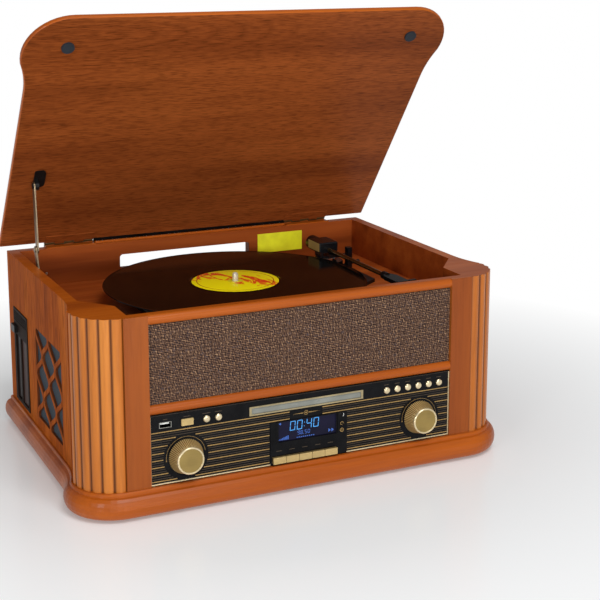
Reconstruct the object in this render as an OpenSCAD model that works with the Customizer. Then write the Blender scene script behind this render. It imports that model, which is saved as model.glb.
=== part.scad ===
// Table-top stereo music centre: wooden cabinet with a record deck under a
// hinged lid, a CD drawer, a cassette slot, a radio panel and two speakers.
// Millimetres. +Z up, -Y is the front, the origin lies under the middle.
// Depths are measured from the cabinet's front plane towards the rear.

/* [Cabinet] */
// Width over the side panels
body_w = 468; // [440:1:500]
// Depth from the front plane to the rear panel's back
body_d = 344; // [336:1:360]
// Thickness of the cabinet boards
wall = 12; // [10:0.5:13]
// Radius of the reeded corner posts
post_r = 43; // [40:1:46]
// How far a post stands out past its side panel
bulge = 9; // [7:0.5:11]
// Number of reeds on a post
reed_count = 6; // [5:1:8]
// Radius of one reed's crest
reed_r = 8.5; // [7.5:0.5:9.5]
// Angle past the side at which the last reed ends
reed_end = 12; // [8:1:14]
// Depth at which the straight side begins
side_start = 96; // [90:1:102]
// Height of the moulded plinth board
plinth_h = 27; // [22:1:32]
// How far the plinth stands out from the cabinet
plinth_out = 10; // [8:0.5:12]
// Height of the bead on top of the plinth
bead_h = 4; // [3:0.5:5]
// Height of the rubber feet
foot_h = 3; // [2:0.5:5]
// Radius of a foot
foot_r = 12; // [8:1:16]
// Distance of the feet from the cabinet's sides
foot_inset = 30; // [24:1:60]

/* [Front] */
// Width of the opening between the posts
opening_w = 349; // [340:1:356]
// Height of the control panel
panel_h = 75.5; // [74:0.5:80]
// Height of the grille opening
grille_h = 83.5; // [76:0.5:90]
// Height of a half-round front rail
rail_h = 10.5; // [9:0.5:12]
// Depth of the grille cloth behind the front plane
grille_depth = 4; // [3:0.5:5]
// Thickness of the cloth-covered grille board
grille_t = 6; // [4:0.5:7]
// Depth of the control panel's face
panel_depth = 2; // [1.5:0.5:3]
// Thickness of the control panel
panel_t = 3; // [2.5:0.5:3.5]
// Clearance round a moving part in the panel
panel_fit = 0.25; // [0.15:0.05:0.35]

/* [Lid] */
// Thickness of the lid board
lid_t = 6; // [5.5:0.5:8]
// Overhang of the lid past the cabinet
lid_over = 9; // [7:0.5:11]
// Rounding of the lid's edges
lid_round = 2; // [1:0.25:2.5]
// Angle between the open and the closed lid
lid_open = 52.5; // [40:0.5:60]
// Height of the closed lid's underside above the rim
lid_gap = 2.5; // [2.4:0.1:3]
// Distance of the hinge axis behind the rear plane
hinge_back = 2.8; // [2.8:0.1:3.4]
// Height of the hinge axis above the lid's underside
hinge_up = 1.5; // [1.3:0.1:1.8]
// Radius of a hinge knuckle
knuckle_r = 2.5; // [2.2:0.1:2.5]
// Radius of the hinge pin
hinge_pin_r = 1.2; // [1:0.1:1.4]
// Length of one hinge
hinge_len = 60; // [48:1:70]
// Distance of a hinge's centre from the middle
hinge_x = 158; // [140:1:170]
// Thickness of a hinge leaf
leaf_t = 1.2; // [1:0.1:1.2]
// Radius of a lid bumper
bumper_r = 7; // [5:0.5:8]

/* [Lid stay] */
// Gap between the stay and the side wall
stay_gap = 2.6; // [2.2:0.1:3]
// Thickness of a stay strip
stay_t = 1.6; // [1.2:0.1:2]
// Width of a stay strip
stay_w = 9; // [8:0.5:10]
// Length of the lower link between pivots
stay_low = 58; // [57:0.5:59]
// Angle of the lower link from the horizontal with the lid open
stay_lean = 71; // [70:0.5:73]
// Distance of the lid pivot in front of the hinge axis
stay_reach = 114; // [113:0.5:116]
// Distance of the lid pivot under the lid
stay_drop = 7.5; // [7:0.5:9]
// Distance of the wall pivot from the cabinet's back
stay_wall_back = 98; // [97:0.5:99]
// Height of the wall pivot above the deck
stay_wall_up = 6; // [5.5:0.5:7]
// Radius of the stay's pivot pins
stay_pin_r = 2; // [1.6:0.1:2.4]

/* [Record deck] */
// Depth of the well under the rim
well_h = 45; // [44:0.5:48]
// Thickness of the deck board
deck_t = 8; // [6:0.5:10]
// Distance of the record centre from the middle
spin_x = -15; // [-18:1:-12]
// Depth of the record centre
spin_d = 162; // [160:1:165]
// Radius of the record
record_r = 150.5; // [149:0.5:151]
// Thickness of the record
record_t = 1.8; // [1.5:0.1:2.2]
// Radius of the record's label
label_r = 50; // [48:0.5:51]
// Radius of the platter
platter_r = 98; // [94:1:110]
// Height of the platter
platter_h = 16; // [14:0.5:17]
// Thickness of the platter mat
mat_t = 2; // [1.5:0.1:3]
// Radius of the spindle
spindle_r = 3.55; // [3.5:0.01:3.58]
// Radius of the spindle's slimmer tip over the record
spindle_tip_r = 3.3; // [3.2:0.05:3.3]
// Height of the spindle's tip over the record
spindle_up = 10; // [8:0.5:11]
// Radius of the hole in platter, mat and record
centre_r = 3.62; // [3.62:0.01:3.64]
// Radius of the ring that the belt drives
ring_r = 72; // [68:1:74]
// Radius of the motor pulley
pulley_r = 4; // [3:0.5:5]
// Distance between platter and pulley axes
pulley_dist = 85; // [83:0.5:86]
// Direction of the pulley from the platter
pulley_dir = 135; // [120:5:150]
// Width of the flat belt
belt_w = 5; // [4:0.5:6]
// Radius of the motor
motor_r = 14; // [12:0.5:16]
// Height of the motor
motor_h = 22; // [18:1:26]
// Thickness of the deck mechanism's plate
plate_t = 4; // [3:0.5:4]

/* [Tonearm] */
// Distance of the arm pivot from the middle
arm_x = 138; // [136:1:140]
// Depth of the arm pivot
arm_d = 238.5; // [236:0.5:241]
// Length from the pivot to the stylus
arm_len = 187; // [185:1:189]
// Height of the arm tube's axis above the record
arm_up = 7; // [6.5:0.5:8]
// Radius of the arm tube
tube_r = 2.6; // [2.2:0.1:3]
// Radius of the ribbed arm base
arm_base_r = 21; // [19:1:22]
// Height of the ribbed arm base
arm_base_h = 15; // [12:0.5:16]
// Radius of the swing shaft
arm_shaft_r = 4; // [3.5:0.1:4.5]
// Radius of the counterweight
weight_r = 9; // [8:0.5:9.5]
// Length of the counterweight
weight_len = 18; // [14:1:22]
// Clearance between the stylus and the record
stylus_gap = 1.5; // [1.4:0.1:2]

/* [Controls] */
// Height of the round buttons above the panel's bottom
button_up = 63.8; // [63:0.1:65]
// Radius of a round button
button_r = 3.6; // [3.2:0.1:3.9]
// How far the round buttons stand out of the panel
button_out = 2.4; // [1.8:0.1:3]
// Travel of every button and key
press = 1.2; // [0.8:0.1:1.3]
// Distance of the first of the two left buttons from the panel's end
left_button_in = 60.8; // [58.5:0.1:63.5]
// Distance of the last of the right buttons from the panel's end
right_button_in = 13.7; // [13.2:0.1:16]
// Pitch of the round buttons
button_pitch = 13.06; // [12.6:0.02:13.1]
// Distance of the power button from the panel's end
power_in = 39.8; // [38.5:0.1:41.4]
// Width of the power button
power_w = 13; // [11:0.5:14]
// Height of the power button
power_h = 7.2; // [6:0.2:8]
// Distance of the USB socket from the panel's end
usb_in = 16.3; // [14.6:0.1:18.4]
// Distance of the knobs from the panel's ends
knob_in = 38; // [35.5:0.5:40.5]
// Height of the knobs above the panel's bottom
knob_up = 27; // [26:0.5:29]
// Radius of a knob at its skirt
knob_r = 19; // [17:0.5:20]
// Radius of a knob's cap
cap_r = 14.4; // [12:0.1:15]
// Height of a knob
knob_h = 15; // [12:0.5:18]
// Number of knurls round a knob
knurl_count = 56; // [40:2:64]
// Radius of a knob's shaft
shaft_r = 3; // [2.5:0.1:3.5]
// Width of the display block
display_w = 89.6; // [86:0.2:92]
// Height of the display block
display_h = 47; // [46:0.5:50]
// Offset of the display block from the middle
display_x = 2; // [0:0.5:4]
// Width of the display's window
window_w = 69; // [62:1:72]
// Height of the display's window
window_h = 22; // [18:0.5:24]
// Height of the window's middle above the panel's bottom
window_up = 36; // [35:0.5:37]
// Width of one key
key_w = 14.7; // [13:0.1:14.8]
// Height of one key
key_h = 7.2; // [6:0.2:8]
// Pitch of the keys
key_pitch = 15.1; // [15:0.1:15.4]
// Height of the keys' middle above the panel's bottom
key_up = 6; // [5:0.1:6.2]
// How far the keys stand out of the panel
key_out = 4; // [3:0.5:5]

/* [CD drawer] */
// Width of the drawer's front bar
drawer_w = 127; // [126:0.5:130]
// Height of the drawer's front bar
drawer_h = 6; // [5.6:0.1:6.4]
// Length of the drawer
drawer_len = 150; // [144:1:156]
// Margin between the drawer's front and the disc
disc_margin = 2.5; // [2:0.5:4]
// Width of the frame round the drawer
drawer_frame = 1.6; // [1.2:0.1:2]
// Radius of the recess for a disc
disc_r = 60.5; // [60.3:0.1:61]

/* [Cassette slot] */
// Width of the cassette bezel
bezel_w = 64; // [62:1:68]
// Height of the cassette bezel
bezel_h = 113; // [112:1:114]
// Distance of the bezel's rear edge from the cabinet's back
bezel_back = 25; // [22:1:28]
// Height of the bezel above the plinth
bezel_up = 5; // [4:0.5:6]
// How far the bezel stands out of the side panel
bezel_out = 1; // [0.8:0.1:1.5]
// Height of the cassette opening
slot_h = 78; // [72:1:79]
// Width of the cassette opening
slot_w = 20; // [18.5:0.5:22]
// Length of the cassette tunnel
slot_len = 106; // [104:1:110]
// Distance of the opening from the bezel's rear edge
slot_edge = 8; // [7:0.5:10]
// Thickness of the flap over the opening
flap_t = 1.2; // [1:0.1:1.5]
// How far the eject key stands out of the bezel
eject_out = 4; // [3:0.5:5]
// Travel of the eject key
eject_travel = 3; // [2:0.5:3]

/* [Speakers] */
// Offset of the fretwork's centre from midway between the post and the cassette bezel
fret_shift = -11; // [-15:0.5:-6]
// Height of the fretwork's centre above the plinth
fret_up = 66; // [64:0.5:70]
// Pitch of the fretwork's columns
fret_pitch_d = 21; // [20:0.5:22]
// Pitch of the fretwork's openings in a column
fret_pitch_z = 41; // [38:0.5:43]
// Radius of a speaker's frame
speaker_r = 57; // [55:1:62]
// Depth of a speaker
speaker_depth = 36; // [30:1:44]

/* [Rear] */
// Width of the slot in the rear panel
rear_slot_w = 172; // [160:1:180]
// Height of the slot in the rear panel
rear_slot_h = 18; // [14:0.5:20]
// Distance of the slot's top under the rim
rear_slot_down = 16; // [14:0.5:18]
// Offset of the slot from the middle
rear_slot_x = -12; // [-20:1:0]
// Width of the socket plate
socket_w = 160; // [150:1:180]
// Height of the socket plate
socket_h = 44; // [40:1:60]
// Height of the socket plate's middle above the plinth
socket_up = 45; // [40:1:60]
// Outer radius of a phono socket
phono_r = 4.15; // [4:0.05:4.2]
// Radius of a 3.5 mm jack's bore
jack_r = 1.8; // [1.78:0.01:1.85]
// Radius of a panel screw's shank
screw_r = 1.5; // [1.2:0.1:1.8]

/* [Hidden] */

round_fn = 64;
fine_fn = 32;
cut = 1;
seat_gap = 0.3;
run_fit = 0.05;

// Heights
base_top = foot_h + plinth_h;
panel_top = base_top + panel_h;
grille_bottom = panel_top + rail_h;
grille_top = grille_bottom + grille_h;
rim_z = grille_top + rail_h;
deck_top = rim_z - well_h;
lid_z = rim_z + lid_gap;
hinge_z = lid_z + hinge_up;
hinge_d = body_d + hinge_back;

// The plinth or the knobs stand out furthest in front; the hinges, the open lid's edge or
// the sockets at the rear. The origin is midway between them
lid_edge = lid_t - hinge_up;
lid_reach = hinge_back - hinge_back * cos(lid_open) + lid_edge * sin(lid_open);
socket_sunk = 3;
phono_len = 8;
rear_reach = max(lid_reach, hinge_back + knuckle_r, phono_len - socket_sunk);
knob_reach = knob_h + seat_gap - panel_depth;
front_reach = max(plinth_out, knob_reach);
front_y = front_reach - (front_reach + body_d + rear_reach) / 2;

// Plan of the cabinet: a front line, a round post, a hollow and a straight side
side_x = body_w / 2;
inner_x = side_x - wall;
post_x = side_x + bulge - post_r;
reed_stop_x = post_x + post_r * cos(reed_end);
reed_stop_d = post_r + post_r * sin(reed_end);
cove_dx = reed_stop_x - side_x;
cove_dd = side_start - reed_stop_d;
cove_r = (cove_dx * cove_dx + cove_dd * cove_dd) / (2 * cove_dx);
cove_x = side_x + cove_r;
cove_link = norm([cove_x - post_x, side_start - post_r]);
cove_turn = atan2(side_start - post_r, cove_x - post_x);
brace_t = 7;
brace_x = post_x - brace_t;
brace = [[inner_x, side_start - 10], [brace_x, post_r + brace_t], [brace_x, wall]];
bezel_rear = body_d - bezel_back;
bezel_d = bezel_rear - bezel_w;
fret_d = (side_start + bezel_d) / 2 + fret_shift;

// Angle on the post's circle, and on the hollow's, where the two outlines meet at an offset
function corner_angle(near, far, side) = acos((near * near + far * far - side * side) / (2 * near * far));
function post_stop(off) = cove_turn - corner_angle(post_r + off, cove_link, cove_r - off);
function cove_start(off) = 180 + cove_turn + corner_angle(cove_r - off, cove_link, post_r + off);
post_steps = 14;
cove_steps = 7;
function half_plan(off) = concat(
    [for (i = [0:post_steps]) let (a = -90 + (post_stop(off) + 90) * i / post_steps)
        [post_x + (post_r + off) * cos(a), post_r + (post_r + off) * sin(a)]],
    [for (i = [1:cove_steps]) let (a = cove_start(off) + (180 - cove_start(off)) * i / cove_steps)
        [cove_x + (cove_r - off) * cos(a), side_start + (cove_r - off) * sin(a)]],
    [[side_x + off, body_d]]);
function flip(points) = [for (i = [len(points) - 1:-1:0]) [-points[i][0], points[i][1]]];
function plan(off) = concat(half_plan(off), flip(half_plan(off)));

// Places of the controls between the panel's ends, and their heights from the floor
right_button_count = 6;
key_count = 5;
panel_half = opening_w / 2;
left_button_x = left_button_in - panel_half;
right_button_x = panel_half - right_button_in - (right_button_count - 1) * button_pitch;
power_x = power_in - panel_half;
usb_x = usb_in - panel_half;
knob_x = panel_half - knob_in;
button_z = base_top + button_up;
knob_z = base_top + knob_up;
window_z = base_top + window_up;
key_z = base_top + key_up;
drawer_z = button_z;
panel_back = panel_depth + panel_t;
flange_t = 1;
flange_d = panel_back + seat_gap;
board_t = 1.6;
board_d = 16;
switch_t = 2.6;
plunger_end = board_d - switch_t - press - seat_gap;

// Record deck, in heights from the floor
plate_top = deck_top + plate_t;
platter_z = plate_top + 2.6;
mat_z = platter_z + platter_h;
record_z = mat_z + mat_t;
record_top = record_z + record_t;
tube_z = record_top + arm_up;
pulley_x = spin_x + pulley_dist * cos(pulley_dir);
pulley_d = spin_d + pulley_dist * sin(pulley_dir);
belt_z = platter_z + 2;
belt_t = 0.8;

// Lid stay: the knee is where the two links meet
stay_lid_closed = [hinge_d - stay_reach, lid_z - stay_drop];
function about_hinge(p, a) = [
    hinge_d + (p[0] - hinge_d) * cos(a) - (p[1] - hinge_z) * sin(a),
    hinge_z + (p[0] - hinge_d) * sin(a) + (p[1] - hinge_z) * cos(a)];
stay_lid_pivot = about_hinge(stay_lid_closed, -lid_open);
stay_wall_pivot = [body_d - stay_wall_back, deck_top + stay_wall_up];
stay_knee = stay_wall_pivot + stay_low * [cos(stay_lean), sin(stay_lean)];
low_link_x = -inner_x + stay_gap;
up_link_x = low_link_x + stay_t + seat_gap + 0.1;

wood = [0.72, 0.36, 0.13];
dark_wood = [0.42, 0.19, 0.09];
black = [0.06, 0.06, 0.06];
gold = [0.83, 0.68, 0.4];
steel = [0.7, 0.7, 0.7];
board_green = [0.1, 0.35, 0.2];

// Places a shape that is given by its depth from the front plane
module from_front() {
    translate([0, front_y, 0]) children();
}

// Turns the local +Z axis towards the front
module facing_front(x, d, z) {
    translate([x, d, z]) rotate([90, 0, 0]) children();
}

// Turns the local +Z axis towards the rear
module facing_rear(x, d, z) {
    translate([x, d, z]) rotate([-90, 0, 0]) children();
}

// A rod along X
module rod_x(r, x0, x1, d, z, fn = round_fn) {
    translate([x0, d, z]) rotate([0, 90, 0]) cylinder(r = r, h = x1 - x0, $fn = fn);
}

// A box given by two corners
module block(low, high) {
    translate(low) cube(high - low);
}

// A rectangle with true round corners
module round_rect(w, h, r) {
    square([w - 2 * r, h], center = true);
    square([w, h - 2 * r], center = true);
    for (sx = [-1, 1], sy = [-1, 1])
        translate([sx * (w / 2 - r), sy * (h / 2 - r)]) circle(r = r, $fn = fine_fn);
}

// Skins the cabinet's plan at each [offset, height] of a moulded edge
module moulding(profile) {
    n = len(plan(0));
    m = len(profile);
    points = [for (p = profile) for (q = plan(p[0])) [q[0], q[1], p[1]]];
    sides = [for (k = [0:m - 2]) for (i = [0:n - 1])
        [k * n + i, (k + 1) * n + i, (k + 1) * n + (i + 1) % n, k * n + (i + 1) % n]];
    bottom = [[for (i = [0:n - 1]) i]];
    top = [[for (i = [n - 1:-1:0]) (m - 1) * n + i]];
    polyhedron(points = points, faces = concat(sides, bottom, top), convexity = 6);
}

// Plinth board with a round nose and a bead under the cabinet
nose_steps = 8;
module base_board() {
    nose_h = plinth_h - bead_h;
    bead_out = 3;
    nose = [for (i = [0:nose_steps]) let (a = -90 + 180 * i / nose_steps)
        [bead_out + (plinth_out - bead_out) * cos(a), foot_h + nose_h / 2 + nose_h / 2 * sin(a)]];
    bead = [[bead_out, base_top - bead_h / 2], [bead_out * 0.8, base_top - bead_h / 5],
        [bead_out / 2, base_top]];
    color(wood) from_front() moulding(concat(nose, bead));
}

// Four rubber feet
module feet() {
    color(black) from_front()
        for (sx = [-1, 1], d = [foot_inset, body_d - foot_inset])
            translate([sx * (side_x - foot_inset), d, 0]) cylinder(r = foot_r, h = foot_h, $fn = round_fn);
}

// A leaf-shaped opening: where two circles cross
module leaf(w, h) {
    r = (w * w + h * h) / (4 * w);
    intersection() {
        translate([r - w / 2, 0]) circle(r = r, $fn = round_fn);
        translate([w / 2 - r, 0]) circle(r = r, $fn = round_fn);
    }
}

// Fretwork: columns of two tall leaves stand between columns of three short ones
fret_columns = 5;
tall_leaf = [16, 37];
short_leaf = [15, 27];
module fretwork() {
    for (c = [0:fret_columns - 1]) {
        is_tall = c % 2 == 0;
        rows = is_tall ? [-0.5, 0.5] : [-1, 0, 1];
        for (r = rows)
            translate([(c - (fret_columns - 1) / 2) * fret_pitch_d, r * fret_pitch_z])
                leaf(is_tall ? tall_leaf[0] : short_leaf[0], is_tall ? tall_leaf[1] : short_leaf[1]);
    }
}

// Side board of the cabinet, drawn with its outer face at x = 0 and the board at +X
module side_board() {
    difference() {
        block([0, side_start, base_top], [wall, body_d, rim_z]);
        translate([-cut, fret_d, base_top + fret_up]) rotate([90, 0, 90])
            linear_extrude(wall + 2 * cut) fretwork();
    }
}

module left_side_panel() {
    color(wood) from_front() difference() {
        translate([-side_x, 0, 0]) side_board();
        block([-side_x - cut, bezel_d, base_top + bezel_up],
              [-inner_x + cut, bezel_d + bezel_w, base_top + bezel_up + bezel_h]);
    }
}

module right_side_panel() {
    color(wood) from_front() mirror([1, 0, 0]) translate([-side_x, 0, 0]) side_board();
}

// Plan of one reeded corner post: a flat stile, the reeds and a hollow
module post_plan() {
    reed_turn = (90 + reed_end) / reed_count;
    core_r = post_r - reed_r;
    past_end = 1.2 * post_r;
    overlap = 1;
    difference() {
        polygon(concat(
            [[panel_half, 0], [post_x, 0], [post_x, post_r],
             [post_x + past_end * cos(reed_end), post_r + past_end * sin(reed_end)],
             [side_x + bulge + cut, side_start], [inner_x, side_start]],
            brace, [[panel_half, wall]]));
        translate([cove_x, side_start]) circle(r = cove_r, $fn = 4 * round_fn);
    }
    intersection() {
        translate([post_x, post_r]) union() {
            circle(r = core_r, $fn = 2 * round_fn);
            for (i = [0:reed_count - 1])
                rotate(-90 + (i + 0.5) * reed_turn) translate([core_r, 0])
                    circle(r = reed_r, $fn = round_fn);
        }
        polygon([[post_x - overlap, -cut], [side_x + 2 * bulge, -cut], [side_x + 2 * bulge, reed_stop_d],
                 [reed_stop_x, reed_stop_d], [post_x - overlap, post_r + overlap]]);
    }
}

module corner_posts() {
    color(wood) from_front() for (side = [0, 1]) mirror([side, 0, 0])
        translate([0, 0, base_top]) linear_extrude(rim_z - base_top) post_plan();
}

// Rear board with the long slot, the socket opening and its screw holes
screw_places = [[-190, 14], [0, 14], [190, 14], [-190, 150], [190, 150]];
rear_d = body_d - wall;
module rear_panel() {
    slot_r = 4;
    color(wood) from_front() difference() {
        block([-inner_x, rear_d, base_top], [inner_x, body_d, rim_z]);
        translate([rear_slot_x, rear_d - cut, rim_z - rear_slot_down - rear_slot_h / 2]) rotate([-90, 0, 0])
            linear_extrude(wall + 2 * cut) round_rect(rear_slot_w, rear_slot_h, slot_r);
        translate([0, rear_d - cut, base_top + socket_up]) rotate([-90, 0, 0])
            linear_extrude(wall + 2 * cut) square([socket_w, socket_h], center = true);
        for (p = screw_places)
            facing_rear(p[0], rear_d - cut, base_top + p[1])
                cylinder(r = screw_r + run_fit, h = wall + 2 * cut, $fn = fine_fn);
    }
}

// Pan-head screws in the rear board
module rear_screws() {
    head_h = 1.4;
    color(steel) from_front() for (p = screw_places) facing_rear(p[0], rear_d, base_top + p[1]) {
        cylinder(r = screw_r, h = wall, $fn = fine_fn);
        translate([0, 0, wall]) cylinder(r = 2 * screw_r, h = head_h, $fn = fine_fn);
    }
}

// Half-round rails over and under the grille
module rail(z) {
    translate([-panel_half, 0, z]) rotate([90, 0, 90]) linear_extrude(opening_w) {
        translate([rail_h / 2, rail_h / 2]) circle(r = rail_h / 2, $fn = round_fn);
        translate([rail_h / 2, 0]) square([wall - rail_h / 2, rail_h]);
    }
}

module front_rails() {
    color(wood) from_front() {
        rail(panel_top);
        rail(grille_top);
    }
}

// Outline of the drop-in mechanism, in x and depth: its right front corner is cut off
plate_left = -125;
plate_right = 176;
plate_front = 66;
plate_rear = 282;
plate_corner = 18;
plate_shoulder = [159, 169];
plate_waist = [100, 130];
plate_toe_x = 60;
function plate_outline(inset) = [
    [plate_left + plate_corner + inset, plate_front + inset], [plate_toe_x - inset, plate_front + inset],
    plate_waist + inset * [-1, 1], plate_shoulder + inset * [-1, 1],
    [plate_right - inset, plate_shoulder[1] + 0.7 * (plate_right - plate_shoulder[0]) + inset],
    [plate_right - inset, plate_rear - plate_corner / 2 - inset],
    [plate_right - plate_corner / 2 - inset, plate_rear - inset],
    [plate_left + plate_corner + inset, plate_rear - inset],
    [plate_left + inset, plate_rear - plate_corner - inset],
    [plate_left + inset, plate_front + plate_corner + inset]];
plate_lip = 8;

module deck_board() {
    color(dark_wood) from_front() difference() {
        translate([0, 0, deck_top - deck_t]) linear_extrude(deck_t)
            polygon(concat(brace, flip(brace), [[-inner_x, rear_d], [inner_x, rear_d]]));
        translate([0, 0, deck_top - deck_t - cut]) linear_extrude(deck_t + 2 * cut)
            polygon(plate_outline(plate_lip));
    }
}

// Board under the grille cloth
module grille_panel() {
    color([0.27, 0.19, 0.15]) from_front()
        block([-panel_half, grille_depth, grille_bottom],
              [panel_half, grille_depth + grille_t, grille_top]);
}

// Rows of the round buttons and of the keys along the panel
left_buttons = [left_button_x, left_button_x + button_pitch];
right_buttons = [for (i = [0:right_button_count - 1]) right_button_x + i * button_pitch];
key_places = [for (i = [0:key_count - 1]) display_x - 5.1 + (i - (key_count - 1) / 2) * key_pitch];
key_row_w = (key_count - 1) * key_pitch + key_w;
usb_w = 13.2;
usb_h = 5.8;
usb_deep = 10;

// Control panel with every cut-out, and the pocket of the USB socket
module control_panel() {
    lens_out = 0.8;
    color(black) from_front() difference() {
        union() {
            block([-panel_half, panel_depth, base_top], [panel_half, panel_back, panel_top]);
            block([display_x - display_w / 2, panel_depth - lens_out, base_top + 1],
                  [display_x + display_w / 2, panel_depth, base_top + 1 + display_h]);
            block([usb_x - usb_w / 2 - 1.5, panel_back, button_z - usb_h / 2 - 1.5],
                  [usb_x + usb_w / 2 + 1.5, panel_depth + usb_deep + 1.5, button_z + usb_h / 2 + 1.5]);
        }
        for (x = concat(left_buttons, right_buttons))
            facing_rear(x, panel_depth - cut, button_z)
                cylinder(r = button_r + panel_fit, h = panel_t + 2 * cut, $fn = fine_fn);
        for (x = [-knob_x, knob_x])
            facing_rear(x, panel_depth - cut, knob_z)
                cylinder(r = shaft_r + panel_fit, h = panel_t + 2 * cut, $fn = fine_fn);
        facing_rear(power_x, panel_depth - cut, button_z) linear_extrude(panel_t + 2 * cut)
            round_rect(power_w + 2 * panel_fit, power_h + 2 * panel_fit, 0.8);
        facing_rear(display_x - 0.85, panel_depth - lens_out - cut, window_z)
            linear_extrude(panel_t + lens_out + 2 * cut) square([window_w, window_h], center = true);
        facing_rear(key_places[2], panel_depth - lens_out - cut, key_z)
            linear_extrude(panel_t + lens_out + 2 * cut)
            square([key_row_w + 2 * panel_fit, key_h + 2 * panel_fit], center = true);
        facing_rear(0, panel_depth - cut, drawer_z) linear_extrude(panel_t + 2 * cut)
            square([drawer_w + 2 * panel_fit, drawer_h + 2 * panel_fit], center = true);
        block([usb_x - usb_w / 2, panel_depth - cut, button_z - usb_h / 2],
              [usb_x + usb_w / 2, panel_depth + usb_deep, button_z + usb_h / 2]);
    }
}

// Raised frame round the drawer's front
module drawer_frame_trim() {
    frame_out = 1;
    hole = [drawer_w, drawer_h] + 2 * panel_fit * [1, 1];
    color(gold) from_front() facing_front(0, panel_depth, drawer_z) linear_extrude(frame_out) difference() {
        square([hole[0] + 2 * drawer_frame + 2, hole[1] + 2 * drawer_frame], center = true);
        square(hole, center = true);
    }
}

// Liquid-crystal display behind its window
module display_module() {
    glass_back = 0.6;
    color([0.13, 0.12, 0.3]) from_front() {
        block([display_x - 0.85 - window_w / 2, panel_depth + glass_back, window_z - window_h / 2],
              [display_x - 0.85 + window_w / 2, panel_back, window_z + window_h / 2]);
        block([display_x - 0.85 - window_w / 2 - 3, panel_back, window_z - window_h / 2 - 3],
              [display_x - 0.85 + window_w / 2 + 3, board_d, window_z + window_h / 2 + 3]);
    }
}

// Circuit board behind the panel, with its switches and shaft sockets
module front_board() {
    edge = 4;
    notch_w = drawer_w + 9;
    encoder_w = 12;
    color(board_green) from_front() difference() {
        union() {
            block([edge - panel_half, board_d, base_top],
                  [panel_half - edge, board_d + board_t, panel_top - edge]);
            for (x = concat(left_buttons, right_buttons, [power_x]))
                block([x - 3, board_d - switch_t, button_z - 3], [x + 3, board_d, button_z + 3]);
            for (x = key_places)
                block([x - 3, board_d - switch_t, key_z - 3], [x + 3, board_d, key_z + 3]);
            for (x = [-knob_x, knob_x])
                block([x - encoder_w / 2, panel_back, knob_z - encoder_w / 2],
                      [x + encoder_w / 2, board_d, knob_z + encoder_w / 2]);
        }
        block([-notch_w / 2, board_d - cut, drawer_z - drawer_h / 2 - 2],
            [notch_w / 2, board_d + board_t + cut, panel_top]);
        for (x = [-knob_x, knob_x])
            facing_rear(x, panel_back - cut, knob_z)
                cylinder(r = shaft_r + run_fit, h = board_d - panel_back + cut - 1, $fn = fine_fn);
    }
}

// Main circuit board on four spacers, with its parts, and the mains transformer beside it
cd_back = 168;
main_z = base_top + 6;
main_left = -100;
main_right = 60;
main_front = cd_back - 18;
main_rear = rear_d - 32;
spacer_in = 6;
spacer_r = 3;
can_r = 6;
can_h = 22;
can_pitch = 22;
can_in = [30, 40];
sink_in = [20, 30];
sink_size = [70, 12, 26.4];
chip_in = [40, 60];
chip_size = [24, 24, 2.4];
core_size = [54, 20, 46];
coil_size = [34, 40, 30];
core_out = [90, 20];
module main_board() {
    top = main_z + board_t;
    sink = [main_left + sink_in[0], main_front + sink_in[1], top];
    chip = [main_left + chip_in[0], main_front + chip_in[1], top];
    color(board_green) from_front() {
        block([main_left, main_front, main_z], [main_right, main_rear, top]);
        for (x = [main_left + spacer_in, main_right - spacer_in],
             d = [main_front + spacer_in, main_rear - spacer_in])
            translate([x, d, base_top]) cylinder(r = spacer_r, h = main_z - base_top, $fn = fine_fn);
        for (i = [0:3])
            translate([main_left + can_in[0] + i * can_pitch, main_rear - can_in[1], top])
                cylinder(r = can_r, h = can_h, $fn = fine_fn);
        block(sink, sink + sink_size);
        block(chip, chip + chip_size);
        translate([main_right + core_out[0], main_rear - core_out[1], base_top + core_size[2] / 2]) {
            cube(core_size, center = true);
            cube(coil_size, center = true);
        }
    }
}

// Drawer housing on two side brackets
module cd_mechanism() {
    half_w = drawer_w / 2 + 8;
    lane = drawer_w / 2 - 1.5 + seat_gap;
    color(steel) from_front() difference() {
        union() {
            block([-half_w, board_d + board_t, drawer_z - 9], [half_w, cd_back, drawer_z + 9]);
            for (side = [0, 1]) mirror([side, 0, 0]) {
                block([half_w - 1.5, board_d + board_t + 20, base_top],
                    [half_w, cd_back - 20, drawer_z - 9]);
                block([half_w, board_d + board_t + 20, base_top],
                    [half_w + 10, cd_back - 20, base_top + 1.5]);
            }
        }
        block([-lane, board_d, drawer_z - drawer_h / 2 + 1 - seat_gap],
            [lane, cd_back - 4, drawer_z + drawer_h / 2 + 1]);
    }
}

// Drawer with its front bar and the round recess for a disc
module cd_drawer() {
    half_w = drawer_w / 2 - 1.5;
    face = panel_depth - 0.5;
    color([0.55, 0.56, 0.55]) from_front() difference() {
        union() {
            block([-drawer_w / 2, face, drawer_z - drawer_h / 2],
                [drawer_w / 2, panel_back, drawer_z + drawer_h / 2]);
            block([-half_w, panel_back, drawer_z - drawer_h / 2 + 1],
                  [half_w, panel_back + drawer_len, drawer_z + drawer_h / 2 - 0.5]);
        }
        translate([0, panel_back + disc_margin + disc_r, drawer_z + drawer_h / 2 - 2.5])
            cylinder(r = disc_r, h = 3, $fn = 2 * round_fn);
        translate([0, panel_back + disc_margin + disc_r, drawer_z - drawer_h])
            cylinder(r = 14, h = 2 * drawer_h, $fn = round_fn);
    }
}

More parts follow.
